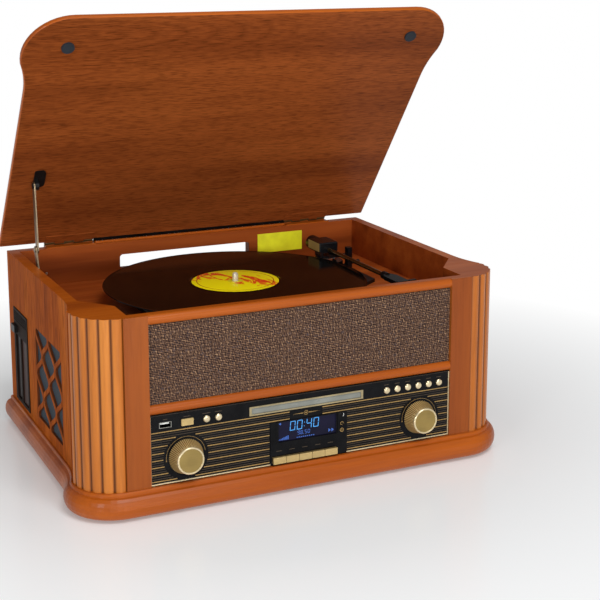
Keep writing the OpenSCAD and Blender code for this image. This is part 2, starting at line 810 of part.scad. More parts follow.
// Cassette slot: a cassette goes in end first, past a flap that is hinged at the rear
bezel_z = base_top + bezel_up;
slot_z = bezel_z + 4;
slot_rear = bezel_rear - slot_edge;
tunnel_wall = 6;
flap_pin_r = 0.9;
flap_pin_x = -side_x + 1.4;
flap_pin_d = slot_rear - flap_pin_r - seat_gap;
eject_w = 16;
eject_h = 8.5;
eject_z = slot_z + slot_h + 3;
eject_pocket = 9;
eject_rear = bezel_rear - 2;
module cassette_deck() {
    rib_pitch = 2.4;
    recess_w = bezel_w - slot_edge - slot_w - 10;
    tunnel_end = -side_x + slot_len + tunnel_wall;
    color(black) from_front() difference() {
        union() {
            block([-side_x - bezel_out, bezel_d, bezel_z], [-inner_x, bezel_rear, bezel_z + bezel_h]);
            block([-inner_x, bezel_d, base_top],
                [tunnel_end, bezel_rear, slot_z + slot_h + tunnel_wall + eject_h]);
        }
        block([-side_x - bezel_out - cut, slot_rear - slot_w, slot_z],
            [-side_x + slot_len, slot_rear, slot_z + slot_h]);
        block([-side_x - bezel_out - cut, bezel_d + 5, slot_z],
            [-side_x - bezel_out + 1.4, bezel_d + 5 + recess_w, slot_z + slot_h]);
        block([-side_x - bezel_out - cut, eject_rear - eject_w - seat_gap, eject_z - seat_gap],
              [-side_x + eject_pocket, eject_rear + seat_gap, eject_z + eject_h + seat_gap]);
        for (z = [eject_z + eject_h + 5:rib_pitch:bezel_z + bezel_h - 3])
            block([-side_x - bezel_out - cut, bezel_d + 3, z],
                [-side_x - bezel_out + 0.6, bezel_rear - 3, z + rib_pitch / 2]);
        translate([flap_pin_x, flap_pin_d, slot_z - 3])
            cylinder(r = flap_pin_r + run_fit, h = slot_h + 6, $fn = fine_fn);
    }
}

// Flap over the cassette opening, with its pivot pin
module cassette_flap() {
    gap = 0.4;
    color([0.12, 0.06, 0.05]) from_front() {
        block([flap_pin_x - flap_t / 2, slot_rear - slot_w + gap, slot_z + gap],
            [flap_pin_x + flap_t / 2, flap_pin_d, slot_z + slot_h - gap]);
        translate([flap_pin_x, flap_pin_d, slot_z - 2.6])
            cylinder(r = flap_pin_r, h = slot_h + 5.2, $fn = fine_fn);
    }
}

// Push key that ejects the cassette
module cassette_eject() {
    color(black) from_front() {
        block([-side_x - bezel_out - eject_out, eject_rear - eject_w, eject_z],
              [-side_x + eject_pocket - eject_travel - seat_gap, eject_rear, eject_z + eject_h]);
    }
}

// A loudspeaker facing -X at x = 0: frame, cone and magnet behind its cloth
cloth_t = 1;
cloth_edge = 58;
module speaker() {
    frame_t = 5;
    cone_r = 46;
    magnet_r = 26;
    magnet_h = 13;
    rotate([0, 90, 0]) translate([0, 0, cloth_t]) rotate_extrude($fn = 2 * round_fn)
        polygon([[0, 12], [12, 12], [cone_r - 3, 1.5], [cone_r, 0], [speaker_r, 0], [speaker_r, frame_t],
                 [cone_r, frame_t], [magnet_r, speaker_depth - magnet_h], [magnet_r, speaker_depth],
                 [0, speaker_depth]]);
}

module speakers() {
    color([0.3, 0.3, 0.32]) from_front() for (side = [0, 1]) mirror([side, 0, 0])
        translate([-inner_x, fret_d, base_top + fret_up]) speaker();
}

// Cloth between each side panel and its speaker
module speaker_cloths() {
    color([0.12, 0.16, 0.22]) from_front() for (side = [0, 1]) mirror([side, 0, 0])
        block([-inner_x, fret_d - cloth_edge, base_top + fret_up - cloth_edge],
              [-inner_x + cloth_t, fret_d + cloth_edge, base_top + fret_up + cloth_edge]);
}

// Socket plate: phono sockets, jacks, the aerial socket and the mains inlet
phono_places = [-64, -46];
jack_places = [-22, -6];
aerial_x = 18;
inlet_x = 52;
plate_face = body_d - socket_sunk;
module rear_socket_plate() {
    pin_r = 1.2;
    inlet_deep = 9;
    color(black) from_front() translate([0, 0, base_top + socket_up]) {
        difference() {
            union() {
                block([-socket_w / 2, rear_d, -socket_h / 2], [socket_w / 2, plate_face, socket_h / 2]);
                for (x = phono_places) facing_rear(x, plate_face, 0)
                    cylinder(r = phono_r, h = phono_len, $fn = round_fn);
                facing_rear(aerial_x, plate_face, 0) cylinder(r = 4.7, h = phono_len, $fn = round_fn);
            }
            for (x = phono_places) facing_rear(x, plate_face - 2, 0)
                cylinder(r = 1.7, h = phono_len + 3, $fn = fine_fn);
            facing_rear(aerial_x, plate_face - 2, 0) cylinder(r = 1.2, h = phono_len + 3, $fn = fine_fn);
            for (x = jack_places) facing_rear(x, rear_d - cut, 0)
                cylinder(r = jack_r, h = wall + cut, $fn = fine_fn);
            translate([inlet_x, plate_face - inlet_deep + cut, 0]) rotate([-90, 0, 0])
                linear_extrude(inlet_deep) round_rect(16, 10, 4.9);
        }
        block([inlet_x - 12, rear_d - 8, -8], [inlet_x + 12, rear_d, 8]);
        for (x = [-4.3, 4.3]) facing_rear(inlet_x + x, rear_d - cut, 0)
            cylinder(r = pin_r, h = inlet_deep, $fn = fine_fn);
    }
}

// Hinge halves: knuckles alternate along the pin
knuckle_count = 5;
knuckle_len = hinge_len / knuckle_count;
knuckle_gap = 0.15;
leaf_w = 11;

// Knuckles with an even or an odd number, with a web down (or up) to their leaf
module knuckles(first, web_low, web_high, bore) {
    for (i = [first:2:knuckle_count - 1]) {
        x0 = -hinge_len / 2 + i * knuckle_len + knuckle_gap;
        x1 = x0 + knuckle_len - 2 * knuckle_gap;
        difference() {
            union() {
                rod_x(knuckle_r, x0, x1, hinge_d, hinge_z, fine_fn);
                block([x0, body_d - leaf_w, web_low], [x1, hinge_d, web_high]);
            }
            rod_x(bore, x0 - cut, x1 + cut, hinge_d, hinge_z, fine_fn);
        }
    }
}

module cabinet_hinge_leaves() {
    color(steel) from_front() for (side = [-1, 1]) translate([side * hinge_x, 0, 0]) {
        block([-hinge_len / 2, body_d - leaf_w, rim_z], [hinge_len / 2, body_d, rim_z + leaf_t - 0.05]);
        knuckles(0, rim_z, rim_z + leaf_t - 0.05, hinge_pin_r / 2);
        for (i = [0:2:knuckle_count - 1])
            block([-hinge_len / 2 + i * knuckle_len + knuckle_gap, hinge_d - 1.2, rim_z],
                  [-hinge_len / 2 + (i + 1) * knuckle_len - knuckle_gap, hinge_d + 1.2,
                   hinge_z - hinge_pin_r]);
        rod_x(hinge_pin_r, -hinge_len / 2, hinge_len / 2, hinge_d, hinge_z, fine_fn);
    }
}

// The closed lid turned open about its hinge
module opened() {
    translate([0, hinge_d, hinge_z]) rotate([-lid_open, 0, 0]) translate([0, -hinge_d, -hinge_z])
        children();
}

module lid_board() {
    steps = 3;
    rounding = [for (i = [0:steps]) let (a = 90 * i / steps)
        [lid_over - lid_round + lid_round * sin(a), lid_z + lid_round - lid_round * cos(a)]];
    upper = [for (i = [0:steps]) let (a = 90 * i / steps)
        [lid_over - lid_round + lid_round * cos(a), lid_z + lid_t - lid_round + lid_round * sin(a)]];
    color(dark_wood) from_front() opened() moulding(concat(rounding, upper));
}

bumper_x = 204;
bumper_d = 31;
bumper_rest = 0.1;
module lid_bumpers() {
    color(black) from_front() opened() for (side = [-1, 1])
        translate([side * bumper_x, bumper_d, rim_z + bumper_rest])
            cylinder(r = bumper_r, h = lid_gap - bumper_rest, $fn = fine_fn);
}

module lid_hinge_leaves() {
    leaf_z = lid_z - leaf_t + 0.05;
    color(steel) from_front() opened() for (side = [-1, 1]) translate([side * hinge_x, 0, 0]) difference() {
        union() {
            block([-hinge_len / 2, body_d - leaf_w, leaf_z], [hinge_len / 2, body_d - 0.1, lid_z]);
            knuckles(1, leaf_z, lid_z, hinge_pin_r / 2);
        }
        rod_x(hinge_pin_r + run_fit, -hinge_len, hinge_len, hinge_d, hinge_z, fine_fn);
    }
}

// Bracket of the stay under the lid, with its pivot pin
module stay_lid_bracket() {
    d = stay_lid_closed[0];
    z = stay_lid_closed[1];
    ear_x = up_link_x + stay_t + seat_gap;
    color(black) from_front() opened() {
        difference() {
            translate([ear_x + 6, d - 4, lid_z - 2]) linear_extrude(2) round_rect(14, 26, 5);
            block([ear_x - 2, d - 20, lid_z - 3], [ear_x, d + 20, lid_z]);
        }
        block([ear_x, d - 5, z], [ear_x + 4, d + 5, lid_z - 2]);
        rod_x(5, ear_x, ear_x + 4, d, z, fine_fn);
        rod_x(stay_pin_r, up_link_x - 1, ear_x, d, z, fine_fn);
        rod_x(stay_pin_r + 1.2, up_link_x - 1, up_link_x - 0.2, d, z, fine_fn);
    }
}

// A flat link between two pivots given in depth and height
module link(x, from, to) {
    span = to - from;
    turn = atan2(span[1], span[0]);
    translate([x, from[0], from[1]]) rotate([turn, 0, 0]) rotate([90, 0, 90]) linear_extrude(stay_t) {
        circle(r = stay_w / 2, $fn = fine_fn);
        translate([norm(span), 0]) circle(r = stay_w / 2, $fn = fine_fn);
        translate([0, -stay_w / 2]) square([norm(span), stay_w]);
    }
}

module stay_upper_link() {
    color(steel) from_front() difference() {
        link(up_link_x, stay_lid_pivot, stay_knee);
        rod_x(stay_pin_r + run_fit, up_link_x - cut, up_link_x + stay_t + cut, stay_lid_pivot[0],
            stay_lid_pivot[1], fine_fn);
    }
}

module stay_lower_link() {
    color(steel) from_front() {
        difference() {
            link(low_link_x, stay_wall_pivot, stay_knee);
            rod_x(stay_pin_r + run_fit, low_link_x - cut, low_link_x + stay_t + cut,
                  stay_wall_pivot[0], stay_wall_pivot[1], fine_fn);
        }
        rod_x(stay_pin_r + 1, low_link_x - 0.9, low_link_x, stay_knee[0], stay_knee[1], fine_fn);
    }
}

module stay_wall_bracket() {
    d = stay_wall_pivot[0];
    z = stay_wall_pivot[1];
    plate = 2.2;
    color(black) from_front() {
        block([-inner_x, d - 9, deck_top], [-inner_x + plate, d + 9, z + 7]);
        rod_x(stay_pin_r, -inner_x + plate, low_link_x + stay_t + 0.1, d, z, fine_fn);
    }
}

// Drop-in mechanism: a plate, a skirt under it, a boss and the fixed spindle
module turntable_chassis() {
    skirt_h = 12;
    skirt_t = 2.5;
    boss_r = 10;
    tip = 3;
    spindle_top = record_top + spindle_up;
    color(black) from_front() {
        difference() {
            union() {
                translate([0, 0, deck_top]) linear_extrude(plate_t) polygon(plate_outline(0));
                translate([0, 0, deck_top - skirt_h]) linear_extrude(skirt_h) difference() {
                    polygon(plate_outline(plate_lip + 0.5));
                    polygon(plate_outline(plate_lip + 0.5 + skirt_t));
                }
            }
            translate([pulley_x, pulley_d, deck_top - cut])
                cylinder(r = pulley_r + 1, h = plate_t + 2 * cut, $fn = fine_fn);
        }
        translate([spin_x, spin_d, 0]) rotate_extrude($fn = round_fn)
            polygon([[0, deck_top - skirt_h], [boss_r, deck_top - skirt_h], [boss_r, plate_top + 1.5],
                     [spindle_r, plate_top + 1.5], [spindle_r, record_top + seat_gap],
                     [spindle_tip_r, record_top + seat_gap], [spindle_tip_r, spindle_top - tip],
                     [spindle_tip_r * 0.8, spindle_top - tip / 3], [spindle_tip_r * 0.35, spindle_top],
                     [0, spindle_top]]);
    }
}

// Turned platter: hub, web, rim and the ring that the belt drives
module platter() {
    hub_r = 12;
    web_t = 4;
    rim_t = 4;
    color(black) from_front() translate([spin_x, spin_d, platter_z]) rotate_extrude($fn = 2 * round_fn)
        polygon([[centre_r, 0], [hub_r, 0], [hub_r, platter_h - web_t], [ring_r - rim_t, platter_h - web_t],
                 [ring_r - rim_t, 1], [ring_r, 1], [ring_r, platter_h - web_t],
                 [platter_r - rim_t, platter_h - web_t], [platter_r - rim_t, 1], [platter_r, 1],
                 [platter_r, platter_h - 1], [platter_r - 1, platter_h], [centre_r, platter_h]]);
}

module platter_mat() {
    color([0.1, 0.1, 0.1]) from_front() translate([spin_x, spin_d, mat_z])
        rotate_extrude($fn = 2 * round_fn)
        polygon([[centre_r, 0], [platter_r - 2, 0], [platter_r - 2, mat_t - 0.5],
            [platter_r - 2.5, mat_t], [centre_r, mat_t]]);
}

// A long-playing record: thick label area, thinner grooves and a bead at the edge
module record() {
    thin = 0.35;
    edge = 3;
    color([0.03, 0.03, 0.03]) from_front() translate([spin_x, spin_d, record_z])
        rotate_extrude($fn = 2 * round_fn)
        polygon([[centre_r, 0], [platter_r - 6, 0], [platter_r, thin], [record_r - edge, thin],
                 [record_r - 0.8, thin - 0.1], [record_r, record_t / 2], [record_r - 0.8, record_t - 0.1],
                 [record_r - edge, record_t - thin], [label_r + 3, record_t - thin],
                 [label_r + 2, record_t], [centre_r, record_t]]);
}

// Flat belt round the platter's ring and the pulley: two arcs joined by their tangents
belt_steps = 60;
belt_lean = asin((ring_r - pulley_r) / pulley_dist);
function belt_path(off) = concat(
    [for (i = [0:belt_steps]) let (a = 90 - belt_lean + (180 + 2 * belt_lean) * i / belt_steps)
        (ring_r + off) * [cos(a), sin(a)]],
    [for (i = [0:belt_steps / 6]) let (a = belt_lean - 90 + (180 - 2 * belt_lean) * i / (belt_steps / 6))
        [pulley_dist, 0] + (pulley_r + off) * [cos(a), sin(a)]]);
module drive_belt() {
    color(black) from_front() translate([spin_x, spin_d, belt_z]) rotate([0, 0, pulley_dir])
        linear_extrude(belt_w)
        difference() {
            polygon(belt_path(seat_gap + belt_t));
            polygon(belt_path(seat_gap));
        }
}

motor_shaft_r = 1;
module turntable_motor() {
    color(steel) from_front() difference() {
        translate([pulley_x, pulley_d, deck_top - motor_h])
            cylinder(r = motor_r, h = motor_h, $fn = round_fn);
        translate([pulley_x, pulley_d, deck_top - 10])
            cylinder(r = motor_shaft_r + run_fit, h = 10 + cut, $fn = fine_fn);
    }
}

module motor_pulley() {
    lip = 1.2;
    color(gold) from_front() translate([pulley_x, pulley_d, 0]) {
        translate([0, 0, belt_z - lip - 0.3])
            cylinder(r = pulley_r, h = belt_w + 2 * lip + 0.6, $fn = round_fn);
        translate([0, 0, deck_top - 9])
            cylinder(r = motor_shaft_r, h = belt_z - deck_top + 9, $fn = fine_fn);
    }
}

// Ribbed tower of the tonearm, and the post with a cradle under the arm tube
base_ribs = 28;
tower_r = 13;
tower_top = tube_z - 9.5;
cue_x = arm_x + 27;
cue_d = arm_d - 4;
cue_z = plate_top + 7;
cue_pin_r = 1.5;
cue_pin_in = arm_x + arm_base_r - 7;
rest_x = arm_x + 19;
rest_d = arm_d - 24;
rest_w = 6;
module arm_base() {
    rest_top = tube_z - tube_r - seat_gap;
    color(black) from_front() {
        difference() {
            translate([arm_x, arm_d, plate_top]) {
                cylinder(r = arm_base_r - 1, h = arm_base_h, $fn = round_fn);
                for (i = [0:base_ribs - 1]) rotate([0, 0, i * 360 / base_ribs])
                    translate([arm_base_r - 1.4, -0.9, 1]) cube([1.4, 1.8, arm_base_h - 2]);
                cylinder(r = tower_r, h = tower_top - plate_top, $fn = round_fn);
            }
            translate([arm_x, arm_d, plate_top + 3])
                cylinder(r = arm_shaft_r + run_fit, h = tower_top - plate_top, $fn = fine_fn);
            rod_x(cue_pin_r + run_fit, cue_pin_in - seat_gap, cue_x, cue_d, cue_z, fine_fn);
        }
        block([rest_x - rest_w / 2, rest_d - 4, plate_top], [rest_x + rest_w / 2, rest_d + 4, tube_z + 5]);
        block([arm_x - 7, rest_d - rest_w / 2, rest_top - 3], [rest_x, rest_d + rest_w / 2, rest_top]);
    }
}

// Swinging fork that carries the arm's lift axis
cheek_in = 8;
cheek_t = 3;
lift_pin_r = 1.6;
module arm_gimbal() {
    cheek_len = 18;
    color(black) from_front() translate([arm_x, arm_d, 0]) difference() {
        union() {
            translate([0, 0, plate_top + 3.3])
                cylinder(r = arm_shaft_r, h = tower_top + 1 - plate_top - 3.3, $fn = fine_fn);
            translate([0, 0, tower_top + seat_gap]) cylinder(r = tower_r, h = 1.8, $fn = round_fn);
            for (side = [0, 1]) mirror([side, 0, 0]) {
                block([cheek_in, -cheek_len / 2, tower_top + seat_gap],
                    [cheek_in + cheek_t, cheek_len / 2, tube_z + 3]);
                rod_x(cheek_len / 2 - 3, cheek_in, cheek_in + cheek_t, 0, tube_z + 1, fine_fn);
            }
        }
        rod_x(lift_pin_r + run_fit, -cheek_in - cheek_t - cut, cheek_in + cheek_t + cut, 0, tube_z,
            fine_fn);
    }
}

// Arm with its pivot block, pin and tube
head_back = 38;
pivot_front = 9;
pivot_rear = 24;
pivot_wing = 4;
wing_start = 11;
module arm_tube() {
    block_w = 2 * (cheek_in - 0.4);
    color(black) from_front() translate([arm_x, arm_d, 0]) {
        difference() {
            union() {
                block([-block_w / 2, -pivot_front, tube_z - 4], [block_w / 2, pivot_rear, tube_z + 7]);
                block([-block_w / 2 - pivot_wing, wing_start, tube_z - 4],
                      [block_w / 2 + pivot_wing, pivot_rear, tube_z + 7]);
            }
            block([-block_w, -pivot_front - cut, tube_z + 4], [block_w, 5 - pivot_front, tube_z + 8]);
        }
        rod_x(lift_pin_r, -cheek_in - cheek_t, cheek_in + cheek_t, 0, tube_z, fine_fn);
        facing_front(0, -pivot_front, tube_z)
            cylinder(r = tube_r, h = arm_len - head_back - pivot_front, $fn = fine_fn);
    }
}

module counterweight() {
    color([0.75, 0.68, 0.5]) from_front() facing_rear(arm_x, arm_d + pivot_rear, tube_z)
        rotate_extrude($fn = round_fn)
            polygon([[0, 0], [weight_r - 1, 0], [weight_r, 1], [weight_r, weight_len - 2],
                     [weight_r - 2, weight_len], [0, weight_len]]);
}

// Headshell with its collar, finger lift, cartridge and stylus
module headshell() {
    stylus_z = record_top + stylus_gap;
    color(black) from_front() translate([arm_x, arm_d, 0]) {
        facing_front(0, head_back - arm_len, tube_z) cylinder(r = tube_r + 1.8, h = 10, $fn = fine_fn);
        translate([0, -arm_len + head_back - 8, tube_z - 1.5]) rotate([0, 0, -90]) linear_extrude(4.5)
            polygon([[0, -4.5], [8, -8], [34, -8], [38, -6], [38, 6], [34, 8], [8, 8], [0, 4.5]]);
        block([-5, -arm_len - 5, stylus_z + 1.6], [5, -arm_len + 12, tube_z - 1.5]);
        translate([0, -arm_len, stylus_z]) cylinder(r1 = 0.3, r2 = 1, h = 1.6, $fn = fine_fn);
        block([8, -arm_len - 4, tube_z + 1], [19, -arm_len, tube_z + 2.2]);
    }
}

// Lever that raises the arm
module cue_lever() {
    hub_r = 2.5;
    color(black) from_front() {
        rod_x(hub_r, cue_x - hub_r, cue_x + hub_r, cue_d, cue_z, fine_fn);
        translate([cue_x, cue_d, cue_z]) rotate([70, 0, 0]) {
            cylinder(r = 1.3, h = 26, $fn = fine_fn);
            translate([0, 0, 24]) cylinder(r = 2.6, h = 8, $fn = fine_fn);
        }
        rod_x(cue_pin_r, cue_pin_in, cue_x, cue_d, cue_z, fine_fn);
    }
}

// Ribbed conical knob with a dished cap on its shaft
module knob(x) {
    rib = 0.8;
    skirt_h = knob_h - 2;
    lean = atan2(knob_r - cap_r, skirt_h);
    rib_len = norm([knob_r - cap_r, skirt_h]) - 0.4;
    color(gold) from_front() facing_front(x, panel_depth - seat_gap, knob_z) {
        rotate_extrude($fn = round_fn)
            polygon([[0, 0], [knob_r - rib, 0], [cap_r - rib, skirt_h], [cap_r, skirt_h],
                     [cap_r, knob_h - 0.6], [cap_r - 0.6, knob_h], [cap_r - 1.4, knob_h],
                     [cap_r - 1.8, knob_h - 0.6], [0, knob_h - 0.6]]);
        for (i = [0:knurl_count - 1]) rotate([0, 0, i * 360 / knurl_count])
            translate([knob_r - 0.3, 0, 0.2]) rotate([0, -lean, 0]) translate([-1.4 * rib, -rib / 2, 0])
                cube([1.4 * rib, rib, rib_len]);
        translate([0, 0, seat_gap - (board_d - panel_depth) + 2])
            cylinder(r = shaft_r, h = board_d - panel_depth - seat_gap - 2, $fn = fine_fn);
    }
}

module volume_knob() {
    knob(-knob_x);
}

module tuning_knob() {
    knob(knob_x);
}

// Round domed button with its flange and plunger
module round_button(x) {
    dome = 0.9;
    flange_r = button_r + 0.9;
    length = plunger_end - panel_depth + button_out;
    color(gold) from_front() facing_front(x, plunger_end, button_z) rotate_extrude($fn = fine_fn)
        polygon([[0, 0], [1.6, 0], [1.6, plunger_end - flange_d - flange_t],
                 [flange_r, plunger_end - flange_d - flange_t], [flange_r, plunger_end - flange_d],
                 [button_r, plunger_end - flange_d], [button_r, length - dome],
                 [button_r * 0.85, length - dome * 0.4], [button_r * 0.5, length - dome * 0.08],
                 [0, length]]);
}

// Rectangular button or key with its flange and plunger
module flat_button(x, z, w, h, out) {
    round = 0.6;
    color(gold) from_front() facing_front(x, plunger_end, z) {
        cylinder(r = 1.6, h = plunger_end - flange_d, $fn = fine_fn);
        translate([0, 0, plunger_end - flange_d - flange_t]) linear_extrude(flange_t)
            square([w - 0.2, h + 1.6], center = true);
        translate([0, 0, plunger_end - flange_d]) linear_extrude(flange_d - panel_depth + out)
            round_rect(w, h, round);
    }
}

module power_button() {
    flat_button(power_x, button_z, power_w, power_h, button_out / 2);
}

module left_button_1() {
    round_button(left_buttons[0]);
}

module left_button_2() {
    round_button(left_buttons[1]);
}

module right_button_1() {
    round_button(right_buttons[0]);
}

module right_button_2() {
    round_button(right_buttons[1]);
}

module right_button_3() {
    round_button(right_buttons[2]);
}

module right_button_4() {
    round_button(right_buttons[3]);
}

module right_button_5() {
    round_button(right_buttons[4]);
}

module right_button_6() {
    round_button(right_buttons[5]);
}

// A key of the row under the display
module row_key(i) {
    flat_button(key_places[i], key_z, key_w, key_h, key_out);
}

module key_1() {
    row_key(0);
}

module key_2() {
    row_key(1);
}

module key_3() {
    row_key(2);
}

module key_4() {
    row_key(3);
}

module key_5() {
    row_key(4);
}

base_board();
feet();
left_side_panel();
right_side_panel();
corner_posts();
rear_panel();
front_rails();
deck_board();
grille_panel();
control_panel();
drawer_frame_trim();
display_module();
rear_socket_plate();
rear_screws();
cabinet_hinge_leaves();
stay_wall_bracket();
speakers();
speaker_cloths();
turntable_chassis();
turntable_motor();
drive_belt();
arm_base();
front_board();
main_board();
cd_mechanism();
cassette_deck();
cassette_flap();
cassette_eject();
lid_board();
lid_bumpers();
lid_hinge_leaves();
stay_lid_bracket();
stay_upper_link();
stay_lower_link();
platter();
platter_mat();
record();
motor_pulley();
arm_gimbal();
arm_tube();
headshell();
counterweight();
cue_lever();
volume_knob();
tuning_knob();
power_button();
left_button_1();
left_button_2();
right_button_1();
right_button_2();
right_button_3();
right_button_4();
right_button_5();
right_button_6();
key_1();
key_2();
key_3();
key_4();
key_5();
cd_drawer();
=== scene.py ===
"""Looks of the stereo music centre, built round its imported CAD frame.

Places are (x, depth behind the front plane, z) in millimetres, and P() turns them to metres.
"""

import math

import bmesh
import bpy
from mathutils import Matrix, Vector
from mathutils.geometry import tessellate_polygon


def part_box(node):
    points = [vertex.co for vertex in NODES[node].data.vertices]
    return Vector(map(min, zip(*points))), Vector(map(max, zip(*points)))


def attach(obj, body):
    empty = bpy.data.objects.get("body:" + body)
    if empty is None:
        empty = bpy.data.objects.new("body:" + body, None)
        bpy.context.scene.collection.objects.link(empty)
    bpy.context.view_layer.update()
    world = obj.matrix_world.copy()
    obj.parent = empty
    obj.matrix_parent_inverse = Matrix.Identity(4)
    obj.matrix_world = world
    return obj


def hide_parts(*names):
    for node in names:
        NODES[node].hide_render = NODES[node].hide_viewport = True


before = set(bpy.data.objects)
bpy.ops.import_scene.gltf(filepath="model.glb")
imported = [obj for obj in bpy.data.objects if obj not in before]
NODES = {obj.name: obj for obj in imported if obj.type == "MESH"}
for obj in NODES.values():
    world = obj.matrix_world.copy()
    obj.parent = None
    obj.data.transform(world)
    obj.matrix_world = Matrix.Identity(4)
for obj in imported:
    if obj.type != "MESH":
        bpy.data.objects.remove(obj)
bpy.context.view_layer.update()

# ---------------------------------------------------------------- places and sizes of the CAD model, in mm
FRONT_Y = -168.0
HINGE_D, HINGE_Z, LID_OPEN = 346.8, 214.0, 52.5
SIDE_X, INNER_X, BODY_D = 234.0, 222.0, 344.0
POST_X, POST_D = 200.0, 43.0
BASE_TOP, RIM_Z = 30.0, 210.0
PANEL_D, PANEL_HALF = 2.0, 174.5
KNOB_X, KNOB_Z, KNURLS = 136.5, 57.0, 56
DISPLAY = (-42.8, 46.8, 31.0, 78.0)
LENS_D, GLASS_D = 1.2, 2.6
SPIN_X, SPIN_D, RECORD_TOP = -15.0, 162.0, 191.4
ARM_X, ARM_D, TUBE_Z = 138.0, 238.5, 198.4
SOCKET_Z, SOCKET_FACE_D = 75.0, 341.2
PHONO_LEFT_X, PHONO_RIGHT_X, AERIAL_X = -64.0, -46.0, 18.0


def P(x, d, z):
    """A place in metres."""
    return Vector((x, FRONT_Y + d, z)) * 0.001


def srgb(r, g, b):
    """Linear colour of an 8-bit screen colour."""
    lin = [c / 255 / 12.92 if c <= 10 else ((c / 255 + 0.055) / 1.055) ** 2.4 for c in (r, g, b)]
    return (*lin, 1.0)


def tones(*colours):
    return [srgb(*c) for c in colours]


def grey(level):
    return (level, level, level, 1)


def scaled_colour(colour, factor):
    return tuple(c * factor for c in colour[:3]) + (1.0,)


# ---------------------------------------------------------------- material graphs
class Graph:
    """A material's node tree with short calls for the nodes that this scene uses."""

    def __init__(self, name, **values):
        self.mat = bpy.data.materials.new(name)
        self.mat.use_nodes = True
        self.nt = self.mat.node_tree
        self.shader = self.nt.nodes["Principled BSDF"]
        self.place = self.nt.nodes.new("ShaderNodeTexCoord").outputs["Object"]
        self.set(**values)

    def feed(self, socket, value):
        if isinstance(value, bpy.types.NodeSocket):
            self.nt.links.new(value, socket)
        else:
            socket.default_value = value

    def set(self, **values):
        """Feeds the shader's sockets: Base_Color is its socket Base Color."""
        for key, value in values.items():
            self.feed(self.shader.inputs[key.replace("_", " ")], value)
        return self

    def colour(self):
        """What feeds the base colour now."""
        return self.shader.inputs["Base Color"].links[0].from_socket

    def math(self, op, a, b=0.0):
        n = self.nt.nodes.new("ShaderNodeMath")
        n.operation = op
        self.feed(n.inputs[0], a)
        self.feed(n.inputs[1], b)
        return n.outputs[0]

    def plus(self, a, b):
        return self.math("ADD", a, b)

    def minus(self, a, b):
        return self.math("SUBTRACT", a, b)

    def times(self, a, b):
        return self.math("MULTIPLY", a, b)

    def over(self, a, b):
        return self.math("DIVIDE", a, b)

    def length(self, a, b):
        return self.math("SQRT", self.plus(self.times(a, a), self.times(b, b)))

    def scaled(self, scale, shift=(0, 0, 0), turn=(0, 0, 0)):
        n = self.nt.nodes.new("ShaderNodeMapping")
        self.feed(n.inputs["Vector"], self.place)
        n.inputs["Scale"].default_value = scale
        n.inputs["Location"].default_value = shift
        n.inputs["Rotation"].default_value = turn
        return n.outputs[0]

    def noise(self, vector, scale, detail=2.0, rough=0.5, distortion=0.0):
        n = self.nt.nodes.new("ShaderNodeTexNoise")
        self.feed(n.inputs["Vector"], vector)
        values = {"Scale": scale, "Detail": detail, "Roughness": rough, "Distortion": distortion}
        for key, value in values.items():
            n.inputs[key].default_value = value
        return n.outputs["Fac"]

    def span(self, value, low, high, a=0.0, b=1.0):
        """Maps low..high to a..b."""
        n = self.nt.nodes.new("ShaderNodeMapRange")
        self.feed(n.inputs["Value"], value)
        for key, v in (("From Min", low), ("From Max", high), ("To Min", a), ("To Max", b)):
            n.inputs[key].default_value = v
        return n.outputs[0]

    def ramp(self, value, stops):
        n = self.nt.nodes.new("ShaderNodeValToRGB")
        self.feed(n.inputs[0], value)
        while len(n.color_ramp.elements) < len(stops):
            n.color_ramp.elements.new(0.5)
        for e, (at, colour) in zip(n.color_ramp.elements, stops):
            e.position = at
            e.color = colour
        return n.outputs[0]

    def mix(self, factor, a, b, blend="MIX"):
        n = self.nt.nodes.new("ShaderNodeMix")
        n.data_type = "RGBA"
        n.blend_type = blend
        factor_in, a_in, b_in = n.inputs[0], n.inputs[6], n.inputs[7]
        self.feed(factor_in, factor)
        self.feed(a_in, a)
        self.feed(b_in, b)
        return n.outputs[2]

    def split(self, source=None):
        n = self.nt.nodes.new("ShaderNodeSeparateXYZ")
        self.feed(n.inputs[0], source or self.place)
        return n.outputs

    def radius(self, centre, axis):
        """Distance from a line along the axis through the centre, in metres."""
        a, b = [self.minus(v, c) for v, c, k in zip(self.split(), centre, "xyz") if k != axis]
        return self.length(a, b)

    def bump(self, height, strength, distance):
        n = self.nt.nodes.new("ShaderNodeBump")
        n.inputs["Strength"].default_value = strength
        n.inputs["Distance"].default_value = distance
        self.feed(n.inputs["Height"], height)
        self.feed(self.shader.inputs["Normal"], n.outputs[0])


# ---------------------------------------------------------------- wood
ALONG = {"x": (0.06, 1.0, 1.0), "y": (1.0, 0.06, 1.0), "z": (1.0, 1.0, 0.06)}
RING_PITCH, RING_BEND, RING_SLANT = 0.03, 0.16, 0.8
FIBRE_SCALE, PORE_SCALE = 330, 760


def ring_lines(g, along, shift):
    """Growth rings cut by the board's face: saw-toothed lines along the grain, bent by a slow noise."""
    x, y, z = g.split(g.scaled((1, 1, 1), shift))
    a, b = {"x": (y, z), "y": (x, z), "z": (x, y)}[along]
    bend = g.noise(g.scaled([0.22 if k == along else 1.0 for k in "xyz"], shift), 5.5, 2, 0.45)
    across = g.plus(g.plus(a, g.times(b, RING_SLANT)), g.times(bend, RING_BEND))
    saw = g.math("FRACT", g.over(across, RING_PITCH))
    return g.ramp(saw, [(0.0, grey(0.25)), (0.16, grey(0.85)), (0.5, grey(1)), (1.0, grey(0.75))])


